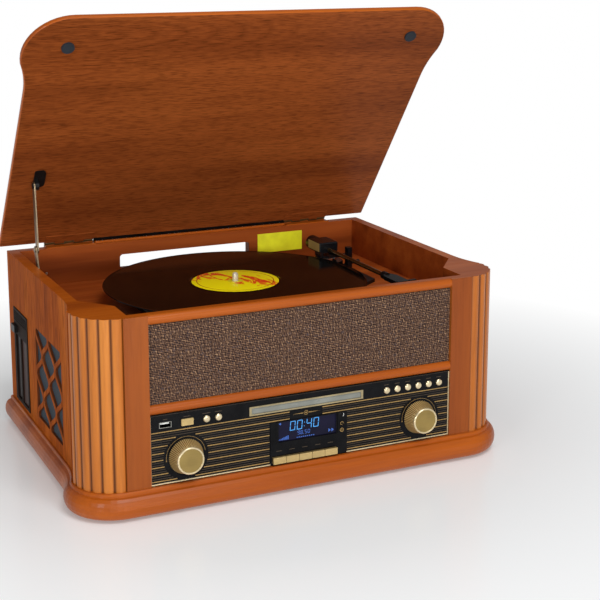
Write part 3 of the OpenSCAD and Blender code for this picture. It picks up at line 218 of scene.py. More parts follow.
def wood(name, along, stain, rings=0.0, fibres=0.4, pores=0.0, rough=0.38, coat=0.06, gloss=0.22, seed=0.0,
         streak=26, fine=1.0):
    """Stained wood with its grain along one axis, from a dark, a middle and a light tone.

    Broad streaks come first, then ring lines, fibres and pores, whose shares are from 0 to 1.
    """
    g = Graph(name, Coat_Weight=coat, Coat_Roughness=0.16, Specular_IOR_Level=gloss)
    shift = (seed, 2.3 * seed, 3.1 * seed)
    dark, mid, light = stain
    broad = g.noise(g.scaled(ALONG[along], shift), streak, 4, 0.55)
    base = g.ramp(broad, [(0.3, dark), (0.5, mid), (0.72, light)])
    if rings:
        base = g.mix(rings, base, ring_lines(g, along, shift), "MULTIPLY")
    thread = g.noise(g.scaled(ALONG[along], shift), FIBRE_SCALE * fine, 3, 0.6)
    thread_tone = g.ramp(thread, [(0.32, (0.45, 0.4, 0.38, 1)), (0.55, grey(1))])
    base = g.mix(fibres, base, thread_tone, "MULTIPLY")
    if pores:
        dash = g.noise(g.scaled(ALONG[along], (shift[0] + 5, 0, 0)), PORE_SCALE * fine, 1.5, 0.5)
        dash_tone = g.ramp(dash, [(0.38, (0.26, 0.2, 0.17, 1)), (0.5, grey(1))])
        base = g.mix(pores, base, dash_tone, "MULTIPLY")
    g.set(Base_Color=base, Roughness=g.span(thread, 0.3, 0.7, rough + 0.05, rough - 0.05))
    g.bump(thread, 0.12 / fine ** 2, 0.0003)
    return g


LID = tones((126, 62, 26), (148, 76, 33), (166, 89, 40))
ORANGE = tones((146, 66, 10), (170, 82, 14), (186, 96, 20))
REED = tones((158, 84, 24), (184, 103, 33), (206, 126, 50))
STILE = tones((116, 50, 9), (138, 65, 14), (156, 79, 20))
WELL = tones((118, 52, 18), (156, 74, 28), (178, 92, 36))
SIDE = tones((142, 62, 12), (184, 90, 22), (208, 114, 34))
EDGE = tones((70, 32, 14), (104, 52, 22), (130, 70, 32))
BACK = tones((96, 46, 20), (132, 70, 34), (156, 90, 46))

lid_top = wood("lid_top_veneer", "x", LID, rings=0.2, pores=0.4, rough=0.32, coat=0.2, seed=2.7)
lid_edge = wood("lid_edge", "x", ORANGE, fibres=0.2, rough=0.34)
side_veneer = wood("side_veneer", "z", SIDE, rings=0.15, fibres=0.6, pores=0.5, rough=0.55, coat=0.0,
                   gloss=0.015, seed=1.3)
smooth_stain = wood("rim_stain", "x", ORANGE, fibres=0.12, rough=0.4, seed=0.4)
base_stain = wood("plinth_stain", "x", ORANGE, fibres=0.15, rough=0.4, coat=0.42, gloss=0.06, seed=3.1)
base_stain.set(Coat_Roughness=0.3)
well_stain = wood("well_stain", "x", WELL, fibres=0.12, rough=0.5, coat=0.0, gloss=0.08, seed=4.1)
deck_stain = wood("deck_stain", "x", WELL, fibres=0.18, rough=0.45, coat=0.0, gloss=0.1, seed=5.3)
cut_edge = wood("cut_edge", "z", EDGE, fibres=0.3, rough=0.6, coat=0.0)
raw_back = wood("rear_board", "z", BACK, fibres=0.35, rough=0.55, coat=0.0, seed=6.2)
stile_wood = wood("stile_wood", "z", STILE, fibres=0.2, rough=0.4, seed=7.7)

FLAME_X, FLAME_Z, FLAME_STRETCH, FLAME_PITCH = -0.18, 0.475, 6.5, 0.034
FLAME_REACH = (0.2, 0.3)


def lid_veneer():
    """The lid's inner face: a flame figure at its left front corner, painted light by the hinge and painted
    shade at the ends.
    """
    g = wood("lid_veneer", "x", LID, rings=0.1, pores=0.55, rough=0.42, coat=0.03, gloss=0.05, seed=0.7,
             streak=22, fine=1.7)
    x, y, z = g.split()
    bend = g.times(g.minus(g.noise(g.scaled((0.3, 1, 1)), 9, 2), 0.5), 0.09)
    far = g.length(g.minus(x, FLAME_X), g.times(g.minus(z, FLAME_Z), FLAME_STRETCH))
    ring = g.math("FRACT", g.over(g.plus(far, bend), FLAME_PITCH))
    arcs = g.ramp(ring, [(0.0, (0.66, 0.6, 0.56, 1)), (0.25, grey(1)), (0.7, (1.08, 1.06, 1.02, 1)),
                         (1.0, (0.82, 0.78, 0.74, 1))])
    base = g.mix(g.span(far, *FLAME_REACH, 0.6, 0.0), g.colour(), arcs, "MULTIPLY")
    # Painted light: brighter towards the hinge, and a little brighter all over
    base = g.mix(1.0, base, g.span(z, 0.2, 0.36, 1.25, 1.08), "MULTIPLY")
    # Painted shade: darker towards both ends of the lid
    ends = g.span(g.math("ABSOLUTE", x), 0.08, 0.24, 0.0, 0.75)
    return g.set(Base_Color=g.mix(ends, base, (0.74, 0.71, 0.68, 1), "MULTIPLY"))


# Radii from the post's axis, in metres, over which painted shade fills the grooves
GROOVE_DEEP, GROOVE_LOW, GROOVE_HIGH = 0.0400, 0.0413, 0.0422


def reeded_wood():
    """Vertical grain, with painted shade in the grooves between the reeds' crests."""
    g = wood("post_wood", "z", REED, fibres=0.28, rough=0.36, coat=0.14, seed=0.2)
    x, y, z = g.split()
    out = g.minus(g.math("ABSOLUTE", x), POST_X / 1000)
    r = g.length(out, g.minus(y, (FRONT_Y + POST_D) / 1000))
    # Painted shade in the grooves between the reeds' crests
    groove_shade = g.times(g.math("GREATER_THAN", out, 0.0), g.span(r, GROOVE_LOW, GROOVE_HIGH, 1.0, 0.0))
    groove_shade = g.times(groove_shade, g.math("GREATER_THAN", r, GROOVE_DEEP))
    return g.set(Base_Color=g.mix(g.times(groove_shade, 0.85), g.colour(), srgb(70, 30, 12)))


veneer_lid = lid_veneer()
post_wood = reeded_wood()


# ---------------------------------------------------------------- plastics and metals
def plastic(name, colour, rough, grain=0.0, scale=900.0, specular=0.5):
    """Moulded plastic: fine grain in its gloss and surface, and a faint change of tone."""
    g = Graph(name, Specular_IOR_Level=specular)
    grain_map = g.noise(g.place, scale, 2)
    tone = g.noise(g.place, 60, 2)
    brighter = tuple(min(1.0, c * 1.25 + 0.003) for c in colour[:3]) + (1.0,)
    g.set(Base_Color=g.mix(g.span(tone, 0.3, 0.7), colour, brighter),
          Roughness=g.span(grain_map, 0.3, 0.7, max(0.02, rough - 0.04), rough + 0.04))
    if grain:
        g.bump(grain_map, grain, 0.0003)
    return g


def metal(name, colour, rough, axis=None, fine=700.0, strength=0.12, metallic=1.0):
    """Brushed, turned or plated metal. The brushing runs along the axis."""
    g = Graph(name, Metallic=metallic)
    brushing = g.noise(g.scaled(ALONG[axis]) if axis else g.place, fine, 3, 0.6)
    tone = g.noise(g.place, 45, 2)
    g.set(Base_Color=g.mix(g.span(tone, 0.35, 0.65), scaled_colour(colour, 0.8), colour),
          Roughness=g.span(brushing, 0.3, 0.7, rough * 0.75, rough * 1.3))
    g.bump(brushing, strength, 0.0002)
    return g


black_gloss = plastic("panel_black", srgb(6, 6, 8), 0.16, specular=0.12)
black_satin = plastic("black_satin", srgb(13, 12, 12), 0.42, grain=0.15, specular=0.2)
black_speckle = plastic("black_speckle", srgb(34, 24, 19), 0.65, grain=0.9, scale=620, specular=0.05)
arm_black = plastic("arm_black", srgb(9, 10, 13), 0.22, specular=0.35)
rubber = plastic("rubber", srgb(26, 27, 30), 0.7, grain=0.3)
pad_felt = plastic("pad_felt", srgb(24, 30, 38), 0.85, grain=0.5, scale=1500)
felt_black = plastic("felt_black", srgb(12, 9, 8), 0.9, grain=0.4, scale=1500, specular=0.02)
head_black = plastic("head_black", srgb(10, 10, 12), 0.4, specular=0.08)
flap_gloss = plastic("flap_gloss", srgb(24, 12, 11), 0.3, specular=0.06)
strip_gloss = plastic("strip_gloss", srgb(54, 28, 20), 0.4, specular=0.06)
board_green = plastic("board_green", srgb(20, 70, 46), 0.4)
# White plastic parts, and the painted highlight on the sensor window
white_and_highlight = plastic("white_and_highlight", srgb(226, 226, 222), 0.4)
card_yellow = plastic("card_yellow", srgb(236, 232, 30), 0.5)
# Painted reflection: tan on the left face of the arm's black pivot cover
cover_side_reflection = plastic("cover_side_reflection", srgb(150, 122, 62), 0.45)
gold = metal("champagne_gold", srgb(222, 190, 128), 0.34, metallic=0.7)
cap_gold = metal("cap_gold", srgb(156, 132, 74), 0.45, "x", 900, 0.2, metallic=0.6)
button_gold = metal("button_gold", srgb(232, 214, 176), 0.32, metallic=0.85)
key_gold = metal("key_gold", srgb(206, 178, 120), 0.38, "x", 900, 0.2, metallic=0.75)
print_gold = metal("print_gold", srgb(168, 134, 76), 0.4, metallic=0.3)
print_dim = metal("print_dim", srgb(66, 52, 34), 0.5, metallic=0.2)
trim_gold = metal("trim_gold", srgb(232, 214, 172), 0.3, "x", metallic=0.5)
frame_gold = metal("frame_gold", srgb(176, 160, 122), 0.34, "x", metallic=0.6)
drawer_grey = metal("drawer_grey", srgb(146, 148, 140), 0.36, "x", metallic=0.6)
steel = metal("steel", srgb(176, 174, 166), 0.3, "x")
chrome = metal("chrome", srgb(226, 226, 224), 0.1, strength=0.03)
worn_steel = metal("worn_steel", srgb(134, 116, 92), 0.36, "z", 500, 0.35, metallic=0.8)
brass_old = metal("old_brass", srgb(96, 74, 38), 0.45, "x", 500, 0.3, metallic=0.5)
# Painted reflection: warm gold on the front part of the dark arm tube, as of the wood around it
tube_painted_reflection = metal("tube_painted_reflection", srgb(112, 88, 50), 0.24, "y", metallic=0.9)
spindle_pale = metal("spindle_pale", srgb(232, 224, 206), 0.3, metallic=0.3)
copper = metal("copper", srgb(176, 106, 62), 0.35)


def knob_skirt():
    """Champagne metal, with painted shade between the ribs so that the ribs look lit."""
    g = metal("knob_skirt", srgb(224, 192, 128), 0.36, metallic=0.45)
    x, y, z = g.split()
    up, out = g.minus(z, KNOB_Z / 1000), g.minus(g.math("ABSOLUTE", x), KNOB_X / 1000)
    angle = g.math("ARCTAN2", up, out)
    # Painted light and shade: the ribs keep the metal's colour, the gaps between them are darkened
    painted_rib_light = g.span(g.math("COSINE", g.times(angle, float(KNURLS))), -0.6, 0.5)
    return g.set(Base_Color=g.mix(painted_rib_light, srgb(120, 88, 44), g.colour()))


# ---------------------------------------------------------------- cloth, record, display
LOOP_PITCH = 0.0076
GRILLE = tones((34, 24, 22), (72, 52, 43), (106, 79, 61), (176, 141, 108))


def grille_cloth():
    """Curled brown cloth: a slanting weave of loops, with darker gaps and a few cool threads."""
    g = Graph("grille_cloth", Roughness=0.9, Specular_IOR_Level=0.15)
    x, y, z = g.split()
    wander = g.times(g.minus(g.noise(g.place, 260, 2), 0.5), 0.004)
    k = 2 * math.pi / LOOP_PITCH
    u = g.times(g.plus(g.plus(x, z), wander), k)
    v = g.times(g.plus(g.minus(x, z), wander), k)
    loops = g.times(g.math("SINE", u), g.math("SINE", v))
    curl = g.math("SINE", g.plus(g.times(u, 2.0), g.times(g.math("SINE", v), 2.4)))
    fluff = g.span(g.noise(g.place, 560, 1.5, 0.5, 0.6), 0.0, 1.0, 0.3, 0.74)
    tone = g.plus(g.plus(g.times(loops, 0.05), g.times(curl, 0.09)), fluff)
    colour = g.ramp(tone, list(zip((0.38, 0.5, 0.6, 0.74), GRILLE)))
    cool = g.noise(g.scaled((1, 1, 1), (7, 7, 7)), 330, 1)
    g.set(Base_Color=g.mix(g.span(cool, 0.55, 0.75, 0, 0.4), colour, srgb(74, 72, 80)))
    g.bump(tone, 0.7, 0.001)
    return g


WEAVE_TURN = 3900.0


def speaker_weave():
    """Blue-grey cloth behind the fretwork, woven at 1.6 mm."""
    g = Graph("speaker_weave", Roughness=0.8)
    x, y, z = g.split()
    warp, weft = (g.math("SINE", g.times(v, WEAVE_TURN)) for v in (y, z))
    weave = g.times(warp, weft)
    g.set(Base_Color=g.mix(g.span(weave, -0.6, 0.6), srgb(30, 38, 46), srgb(62, 76, 88)))
    g.bump(weave, 0.5, 0.0004)
    return g


GROOVE_PITCH, TRACK_LENGTH, TRACK_GAP = 0.0007, 0.0172, 0.06


def vinyl():
    """Black record: fine grooves, and smoother bands between the tracks."""
    g = Graph("vinyl", Specular_IOR_Level=0.09)
    r = g.radius(P(SPIN_X, SPIN_D, 0), "z")
    grooves = g.math("SINE", g.times(r, 2 * math.pi / GROOVE_PITCH))
    gap = g.math("LESS_THAN", g.math("FRACT", g.over(r, TRACK_LENGTH)), TRACK_GAP)
    g.set(Base_Color=g.mix(gap, srgb(8, 7, 7), srgb(3, 3, 3)), Roughness=g.minus(0.1, g.times(gap, 0.05)))
    g.bump(grooves, 0.03, 0.0001)
    return g


STROKES = tones((255, 240, 6), (250, 140, 20), (232, 44, 20), (246, 90, 20), (255, 236, 16))


def label_print():
    """A made-up label: yellow ground with red and orange brush strokes and a plain ring."""
    g = Graph("label_print", Roughness=0.42)
    c = P(SPIN_X, SPIN_D, 0)
    r = g.radius(c, "z")
    x, y, z = g.split()
    lean = g.plus(g.minus(x, c.x), g.times(g.minus(y, c.y), 0.7))
    blur = g.noise(g.scaled((1, 0.35, 1), turn=(0, 0, 0.6)), 70, 3, 0.6, 1.2)
    where = g.plus(g.times(lean, 9.0), g.times(blur, 1.5))
    strokes = g.ramp(where, list(zip((0.70, 0.75, 0.82, 0.91, 0.95), STROKES)))
    ring = g.math("COMPARE", r, 0.0440)
    ring.node.inputs[2].default_value = 0.0005
    ground = g.mix(ring, strokes, srgb(170, 40, 22))
    hub = g.math("LESS_THAN", r, 0.0090)
    return g.set(Base_Color=g.mix(hub, ground, srgb(232, 214, 40)))


def glowing(g, colour, strength):
    g.shader.inputs["Emission Color"].default_value = colour
    g.shader.inputs["Emission Strength"].default_value = strength
    return g


def display_glass():
    g = Graph("display_glass", Roughness=0.12, Specular_IOR_Level=0.15)
    g.set(Base_Color=g.ramp(g.noise(g.place, 40, 1), [(0.35, srgb(12, 12, 28)), (0.65, srgb(18, 17, 38))]))
    return glowing(g, srgb(46, 40, 92), 0.05)


def lit(name, colour, strength):
    """A lit mark of the display."""
    g = Graph(name, Roughness=0.4)
    g.set(Base_Color=g.ramp(g.noise(g.place, 300, 1), [(0.3, colour), (0.7, scaled_colour(colour, 0.9))]))
    return glowing(g, colour, strength)


skirt_gold = knob_skirt()
cloth = grille_cloth()
weave = speaker_weave()
record_vinyl = vinyl()
record_label = label_print()
lcd = display_glass()
digit_blue = lit("digit_blue", srgb(64, 146, 216), 0.45)
digit_dim = lit("digit_dim", srgb(50, 90, 170), 0.35)


# ---------------------------------------------------------------- paint the CAD nodes
# Reach of the tests from an axis
KNUCKLE_REACH, PHONO_REACH, AERIAL_REACH, SPINDLE_REACH, CAP_REACH = 2.8, 5, 5.2, 4, 12.4
# Depths at which one material ends
STILE_END_D, BRACE_START_D, POST_END_D = 1, 11, POST_D + 1.5
WINDOW_END_D, DRAWER_BAR_END_D, KNOB_RING_END_D, TUBE_END_D = 4, 4.5, -8.5, ARM_D - 9.5
# Heights and places across at which one ends
RIM_START_Z, PLATE_TOP_Z, BOARD_TOP_Z, STRIP_TOP_Z = RIM_Z - 5, 171, 38, 120
BRACE_X, WELL_X, SINK_X, STRIP_X = POST_X - 6.5, INNER_X + 1, 70, (-234.6, -233)


def paint(node, *rules):
    """Gives a node or mesh its materials.

    The first rule that passes at a face's middle (in mm, y as depth) and normal wins; the last has no test.
    """
    mesh = NODES[node].data if isinstance(node, str) else node
    mesh.materials.clear()
    for graph, _ in rules:
        mesh.materials.append(graph.mat)
    for poly in mesh.polygons:
        c = poly.center * 1000
        c = Vector((c.x, c.y - FRONT_Y, c.z))
        for i, (_, test) in enumerate(rules):
            if test is None or test(c, poly.normal):
                poly.material_index = i
                break


def facing(axis, sign=0, least=0.7):
    """Test: the face looks along the axis, on one side or both."""
    i = "xyz".index(axis)
    return lambda c, n: (n[i] * sign > least) if sign else abs(n[i]) > least


def in_barrel(c, n):
    """Test: the face belongs to the hinges' knuckles."""
    return math.hypot(c.y - HINGE_D, c.z - HINGE_Z) < KNUCKLE_REACH


def on_socket(x, reach):
    """Test: the face is on a socket's outer part."""
    return lambda c, n: abs(c.x - x) < reach and abs(c.z - SOCKET_Z) < reach and c.y > SOCKET_FACE_D


def on_spindle(c, n):
    return math.hypot(c.x - SPIN_X, c.y - SPIN_D) < SPINDLE_REACH and c.z > PLATE_TOP_Z


def on_strip(c, n):
    """Test: the face is on the glossy strip of the cassette bezel."""
    return abs(n.x) > 0.7 and STRIP_X[0] < c.x < STRIP_X[1] and c.z < STRIP_TOP_Z


def on_cap(c, n):
    """Test: the face is on a knob's front, inside its ring."""
    return n.y < -0.7 and math.hypot(abs(c.x) - KNOB_X, c.z - KNOB_Z) < CAP_REACH


def on_rim(c, n):
    return n.z > 0.7 and c.z > RIM_START_Z


def towards_well(c, n):
    return n.x * c.x < 0 and abs(n.x) > 0.7 and abs(c.x) < WELL_X


lid_tilt = math.radians(LID_OPEN)
lid_normal = Vector((0, -math.sin(lid_tilt), -math.cos(lid_tilt)))

# One material for the whole node
WHOLE = {
    "base_board": base_stain, "feet": rubber, "deck_board": deck_stain, "control_panel": black_gloss,
    "drawer_frame_trim": frame_gold, "rear_screws": steel, "stay_wall_bracket": black_satin,
    "turntable_motor": steel, "drive_belt": rubber, "arm_base": arm_black, "front_board": board_green,
    "cd_mechanism": steel, "cassette_flap": flap_gloss, "cassette_eject": black_satin,
    "lid_bumpers": pad_felt, "stay_lid_bracket": black_satin, "stay_upper_link": worn_steel,
    "stay_lower_link": worn_steel, "platter": black_satin, "platter_mat": rubber, "record": record_vinyl,
    "motor_pulley": gold, "arm_gimbal": arm_black, "headshell": head_black, "counterweight": arm_black,
    "cue_lever": arm_black, "power_button": key_gold,
}
for node in NODES:
    if node.startswith(("left_button", "right_button")):
        WHOLE[node] = button_gold
    elif node.startswith("key_"):
        WHOLE[node] = key_gold
for node, graph in WHOLE.items():
    paint(node, (graph, None))

SIDE_RULES = ((well_stain, towards_well), (side_veneer, facing("x")), (smooth_stain, on_rim),
              (cut_edge, None))
paint("corner_posts", (smooth_stain, facing("z", 1)),
      (well_stain, lambda c, n: c.y > BRACE_START_D and (abs(c.x) < BRACE_X or n.x * c.x < 0)),
      (stile_wood, lambda c, n: c.y < STILE_END_D and abs(c.x) < POST_X),
      (side_veneer, lambda c, n: c.y > POST_END_D), (post_wood, None))
paint("rear_panel", (well_stain, facing("y", -1)), (smooth_stain, on_rim), (raw_back, facing("y")),
      (cut_edge, None))
paint("front_rails", (well_stain, facing("y", 1)), (smooth_stain, None))
paint("grille_panel", (cloth, facing("y", -1)), (cut_edge, None))
paint("display_module", (lcd, lambda c, n: n.y < -0.7 and c.y < WINDOW_END_D), (board_green, None))
paint("rear_socket_plate", (gold, on_socket(PHONO_LEFT_X, PHONO_REACH)),
      (gold, on_socket(PHONO_RIGHT_X, PHONO_REACH)), (chrome, on_socket(AERIAL_X, AERIAL_REACH)),
      (black_satin, None))
paint("cabinet_hinge_leaves", (brass_old, in_barrel), (smooth_stain, None))
paint("lid_hinge_leaves", (brass_old, in_barrel), (veneer_lid, None))
paint("speakers", (black_satin, facing("x")), (steel, None))
paint("turntable_chassis", (chrome, on_spindle), (black_satin, None))
paint("main_board", (board_green, lambda c, n: c.z < BOARD_TOP_Z), (black_satin, lambda c, n: c.x < SINK_X),
      (copper, None))
paint("cassette_deck", (strip_gloss, on_strip), (black_speckle, None))
paint("lid_board", (veneer_lid, lambda c, n: n.dot(lid_normal) > 0.75),
      (lid_top, lambda c, n: n.dot(lid_normal) < -0.75), (lid_edge, None))
# The arm tube's front part carries the painted reflection
paint("arm_tube", (tube_painted_reflection, lambda c, n: c.y < TUBE_END_D), (arm_black, None))
for knob in ("volume_knob", "tuning_knob"):
    paint(knob, (cap_gold, on_cap), (trim_gold, lambda c, n: c.y < KNOB_RING_END_D), (skirt_gold, None))
paint("cd_drawer", (drawer_grey, lambda c, n: c.y < DRAWER_BAR_END_D), (black_satin, None))


# ---------------------------------------------------------------- making pieces
def add(name, mesh, graph, body, at=None):
    """A piece from a mesh, moved by a matrix where one is given, that rides a body."""
    ob = bpy.data.objects.new(name, mesh)
    bpy.context.scene.collection.objects.link(ob)
    mesh.materials.append(graph.mat)
    if at is not None:
        mesh.transform(at)
    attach(ob, body)
    return ob


def from_bmesh(bm):
    mesh = bpy.data.meshes.new("mesh")
    bmesh.ops.recalc_face_normals(bm, faces=bm.faces)
    bm.to_mesh(mesh)
    bm.free()
    return mesh


def boxes(name, spans, graph, body, bevel=0.0, seg=2, at=None):
    """Boxes from (low, high) corners in mm, each with bevelled edges, in one mesh."""
    bm = bmesh.new()
    for low, high in spans:
        part = bmesh.new()
        bmesh.ops.create_cube(part, size=1.0)
        lo, hi = P(*low), P(*high)
        for v in part.verts:
            v.co = Vector([lo[i] if v.co[i] < 0 else hi[i] for i in range(3)])
        if bevel:
            bmesh.ops.bevel(part, geom=list(part.edges), offset=bevel / 1000, segments=seg, affect="EDGES",
                            profile=0.5)
        bm.from_mesh(from_bmesh(part))
    return add(name, from_bmesh(bm), graph, body, at=at)


TURN_AXES = {"z": ((1, 0, 0), (0, 1, 0), (0, 0, 1)), "-y": ((1, 0, 0), (0, 0, 1), (0, -1, 0))}


def turned(name, profile, centre, axis, graph, body, steps=48):
    """A turned form: profile of (radius, height) in mm along the axis from the centre."""
    bm = bmesh.new()
    c = P(*centre)
    a, b, h = (Vector(v) for v in TURN_AXES[axis])
    angles = [2 * math.pi * i / steps for i in range(steps)]
    rings = []
    for r, t in profile:
        middle = h * t / 1000
        if r == 0:
            rings.append([bm.verts.new(c + middle)])
        else:
            rings.append([bm.verts.new(c + (a * math.cos(q) + b * math.sin(q)) * r / 1000 + middle)
                          for q in angles])
    for low, high in zip(rings, rings[1:]):
        for i in range(steps):
            j = (i + 1) % steps
            quad = [low[i % len(low)], low[j % len(low)], high[j % len(high)], high[i % len(high)]]
            face = list(dict.fromkeys(quad))
            if len(face) > 2:
                bm.faces.new(face)
    mesh = from_bmesh(bm)
    mesh.polygons.foreach_set("use_smooth", [True] * len(mesh.polygons))
    add(name, mesh, graph, body)
    mesh.set_sharp_from_angle(angle=math.radians(35))


def prints(name, outlines, d_face, graph, thick=0.06):
    """Thin raised foil on a face of the cabinet that looks forwards, from outlines of (x, z) in mm."""
    bm = bmesh.new()
    for outline in outlines:
        front = [bm.verts.new(P(x, d_face - thick, z)) for x, z in outline]
        back = [bm.verts.new(P(x, d_face + 0.02, z)) for x, z in outline]
        bm.faces.new(front)
        bm.faces.new(list(reversed(back)))
        for i in range(len(outline)):
            j = (i + 1) % len(outline)
            bm.faces.new([front[j], front[i], back[i], back[j]])
    return add(name, from_bmesh(bm), graph, "cabinet")


def rect(x0, x1, z0, z1):
    return [(x0, z0), (x1, z0), (x1, z1), (x0, z1)]


def curve(cx, cz, r, degrees):
    """Points on a circle."""
    return [(cx + r * math.cos(math.radians(a)), cz + r * math.sin(math.radians(a))) for a in degrees]


def arc(cx, cz, r0, r1, a0, a1, steps=24):
    """A band of a ring, as small four-sided outlines."""
    turns = [math.radians(a0 + (a1 - a0) * i / steps) for i in range(steps + 1)]
    return [[(cx + r * math.cos(t), cz + r * math.sin(t)) for r, t in ((r0, p), (r1, p), (r1, q), (r0, q))]
            for p, q in zip(turns, turns[1:])]


# ---------------------------------------------------------------- side boards: fretwork in front of cloth
SIDE_START, FRET_D, FRET_Z, FRET_W, FRET_H, FRET_T = 96.0, 166.0, 96.0, 108.0, 104.0, 2.6
FRET_COLUMNS, FRET_PITCH, FRET_BAR, EYE_STEPS = 4, 49.5, 5.6, 7
COLUMN_W = FRET_W / FRET_COLUMNS
EYE_TIP, EYE_NARROWEST = 0.4 * FRET_PITCH, 0.05
BEZEL = (255.0, 319.0, 35.0, 148.0)
POCKET = 58.0


def eye(cu, cv):
    """One opening of the ogee lattice: widest at its middle, with a tip above and below."""
    wave = 2 * math.pi / FRET_PITCH
    side = []
    for i in range(-EYE_STEPS, EYE_STEPS + 1):
        v = EYE_TIP * i / EYE_STEPS
        slope = COLUMN_W * math.pi / FRET_PITCH * math.sin(wave * v)
        half = COLUMN_W / 2 * (1 + math.cos(wave * v)) - FRET_BAR / 2 * math.hypot(1, slope)
        side.append((max(half, EYE_NARROWEST), v))
    return [(cu + u, cv + v) for u, v in side] + [(cu - u, cv + v) for u, v in reversed(side)]


def clipped(outline, low, high):
    """The part of an outline inside a window."""
    for k, limit, sign in ((0, low[0], 1), (0, high[0], -1), (1, low[1], 1), (1, high[1], -1)):
        kept = []
        for p, q in zip(outline, outline[1:] + outline[:1]):
            a, b = sign * (p[k] - limit), sign * (q[k] - limit)
            if a >= 0:
                kept.append(p)
            if a * b < 0:
                kept.append(tuple(p[i] + a / (a - b) * (q[i] - p[i]) for i in (0, 1)))
        outline = kept
    return outline


def board_layer(bm, x0, x1, outlines):
    """A flat layer from x0 to x1: its first outline of (d, z) with the other outlines as holes."""
    flat = [[Vector((u, v, 0)) for u, v in o] for o in outlines]
    sides = [[bm.verts.new(P(x, p.x, p.y)) for o in flat for p in o] for x in (x0, x1)]
    for tri in tessellate_polygon(flat):
        for verts in sides:
            bm.faces.new([verts[i] for i in tri])
    start = 0
    for o in flat:
        for i in range(len(o)):
            i0, i1 = start + i, start + (i + 1) % len(o)
            bm.faces.new([sides[0][i0], sides[0][i1], sides[1][i1], sides[1][i0]])
        start += len(o)


window_low = (FRET_D - FRET_W / 2, FRET_Z - FRET_H / 2)
window_high = (FRET_D + FRET_W / 2, FRET_Z + FRET_H / 2)
eyes = []
for column in range(FRET_COLUMNS + 1):
    for row in (-0.5, 0.5) if column % 2 == 0 else (-1, 0, 1):
        whole_eye = eye(FRET_D + (column - FRET_COLUMNS / 2) * COLUMN_W, FRET_Z + row * FRET_PITCH)
        eyes.append(clipped(whole_eye, window_low, window_high))
pocket = rect(FRET_D - POCKET, FRET_D + POCKET, FRET_Z - POCKET, FRET_Z + POCKET)
for side, sx in (("left_side_panel", -1), ("right_side_panel", 1)):
    outer = [rect(SIDE_START, BODY_D, BASE_TOP, RIM_Z)] + ([rect(*BEZEL)] if sx < 0 else [])
    bm = bmesh.new()
    board_layer(bm, sx * SIDE_X, sx * (SIDE_X - FRET_T), outer + eyes)
    board_layer(bm, sx * (SIDE_X - FRET_T), sx * INNER_X, outer + [pocket])
    mesh = from_bmesh(bm)
    fret = add(side + "_fretwork", mesh, side_veneer, "cabinet")
    paint(mesh, *SIDE_RULES)
    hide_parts(side)

CLOTH_X, CLOTH_T, CLOTH_HALF = SIDE_X - FRET_T - 0.05, 0.8, POCKET - 0.5
fret_cloth = boxes("fret_cloth", [((sx * CLOTH_X, FRET_D - CLOTH_HALF, FRET_Z - CLOTH_HALF),
                                   (sx * (CLOTH_X - CLOTH_T), FRET_D + CLOTH_HALF, FRET_Z + CLOTH_HALF))
                                  for sx in (-1, 1)], weave, "cabinet")
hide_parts("speaker_cloths")

# ---------------------------------------------------------------- control panel: lines, edges, scales, marks
SURROUND_R, LINE_TOP, LINE_PITCH, LINES = 24.5, 86.5, 7.43, 8
LINE_T, FINE_LINE_T, LINE_INSET, DISPLAY_GAP = 1.0, 0.55, 1.2, 0.8
BADGE_GAP = (-20.4, 18.1, 78.0, 88.2)
EDGE_LOW, EDGE_HIGH = 32.0, 104.4


def stripe(z, thick):
    """A pinstripe across the panel, left out behind the knobs' discs, the display and the plain badge."""
    gaps = []
    for k in (-KNOB_X, KNOB_X):
        dz = abs(z - KNOB_Z)
        if dz < SURROUND_R:
            half = math.sqrt(SURROUND_R ** 2 - dz ** 2)
            gaps.append((k - half, k + half))
    if z < DISPLAY[3] + 0.5:
        gaps.append((DISPLAY[0] - DISPLAY_GAP, DISPLAY[1] + DISPLAY_GAP))
    if BADGE_GAP[2] < z < BADGE_GAP[3]:
        gaps.append(BADGE_GAP[:2])
    x = -PANEL_HALF + LINE_INSET
    out = []
    for a, b in sorted(gaps):
        if a - x > 0.5:
            out.append(rect(x, a, z - thick / 2, z + thick / 2))
        x = max(x, b)
    out.append(rect(x, PANEL_HALF - LINE_INSET - 0.6, z - thick / 2, z + thick / 2))
    return out


bright, dim = [], []
for k in range(LINES):
    z = LINE_TOP - k * LINE_PITCH
    bright += stripe(z, LINE_T)
    if k < LINES - 1:
        for third in (1, 2):
            dim += stripe(z - third * LINE_PITCH / 3, FINE_LINE_T)
prints("panel_pinstripes", bright, PANEL_D, print_gold)
prints("panel_fine_lines", dim, PANEL_D, print_dim)
prints("panel_bottom_strip", [rect(-PANEL_HALF + 0.3, -40.9, 30.9, 32.2),
                              rect(34.9, PANEL_HALF - 0.3, 30.9, 32.2)], PANEL_D, trim_gold, thick=0.3)
prints("panel_right_strip", [rect(PANEL_HALF - 1.5, PANEL_HALF - 0.4, EDGE_LOW, EDGE_HIGH)], PANEL_D,
       trim_gold, thick=0.3)
prints("panel_left_strip", [rect(-PANEL_HALF + 0.3, -PANEL_HALF + 0.8, EDGE_LOW, EDGE_HIGH)], PANEL_D,
       frame_gold, thick=0.2)
prints("panel_top_line", [rect(-PANEL_HALF + 0.4, PANEL_HALF - 1.4, 104.3, 104.6)], PANEL_D, print_dim)
scales = []
for k in (-KNOB_X, KNOB_X):
    scales += arc(k, KNOB_Z, 21.2, 21.5, 8, 186, 40)
    scales += arc(k, KNOB_Z, 20.7, 21.8, 184, 187.5, 2)
prints("knob_scales", scales, PANEL_D, print_gold)

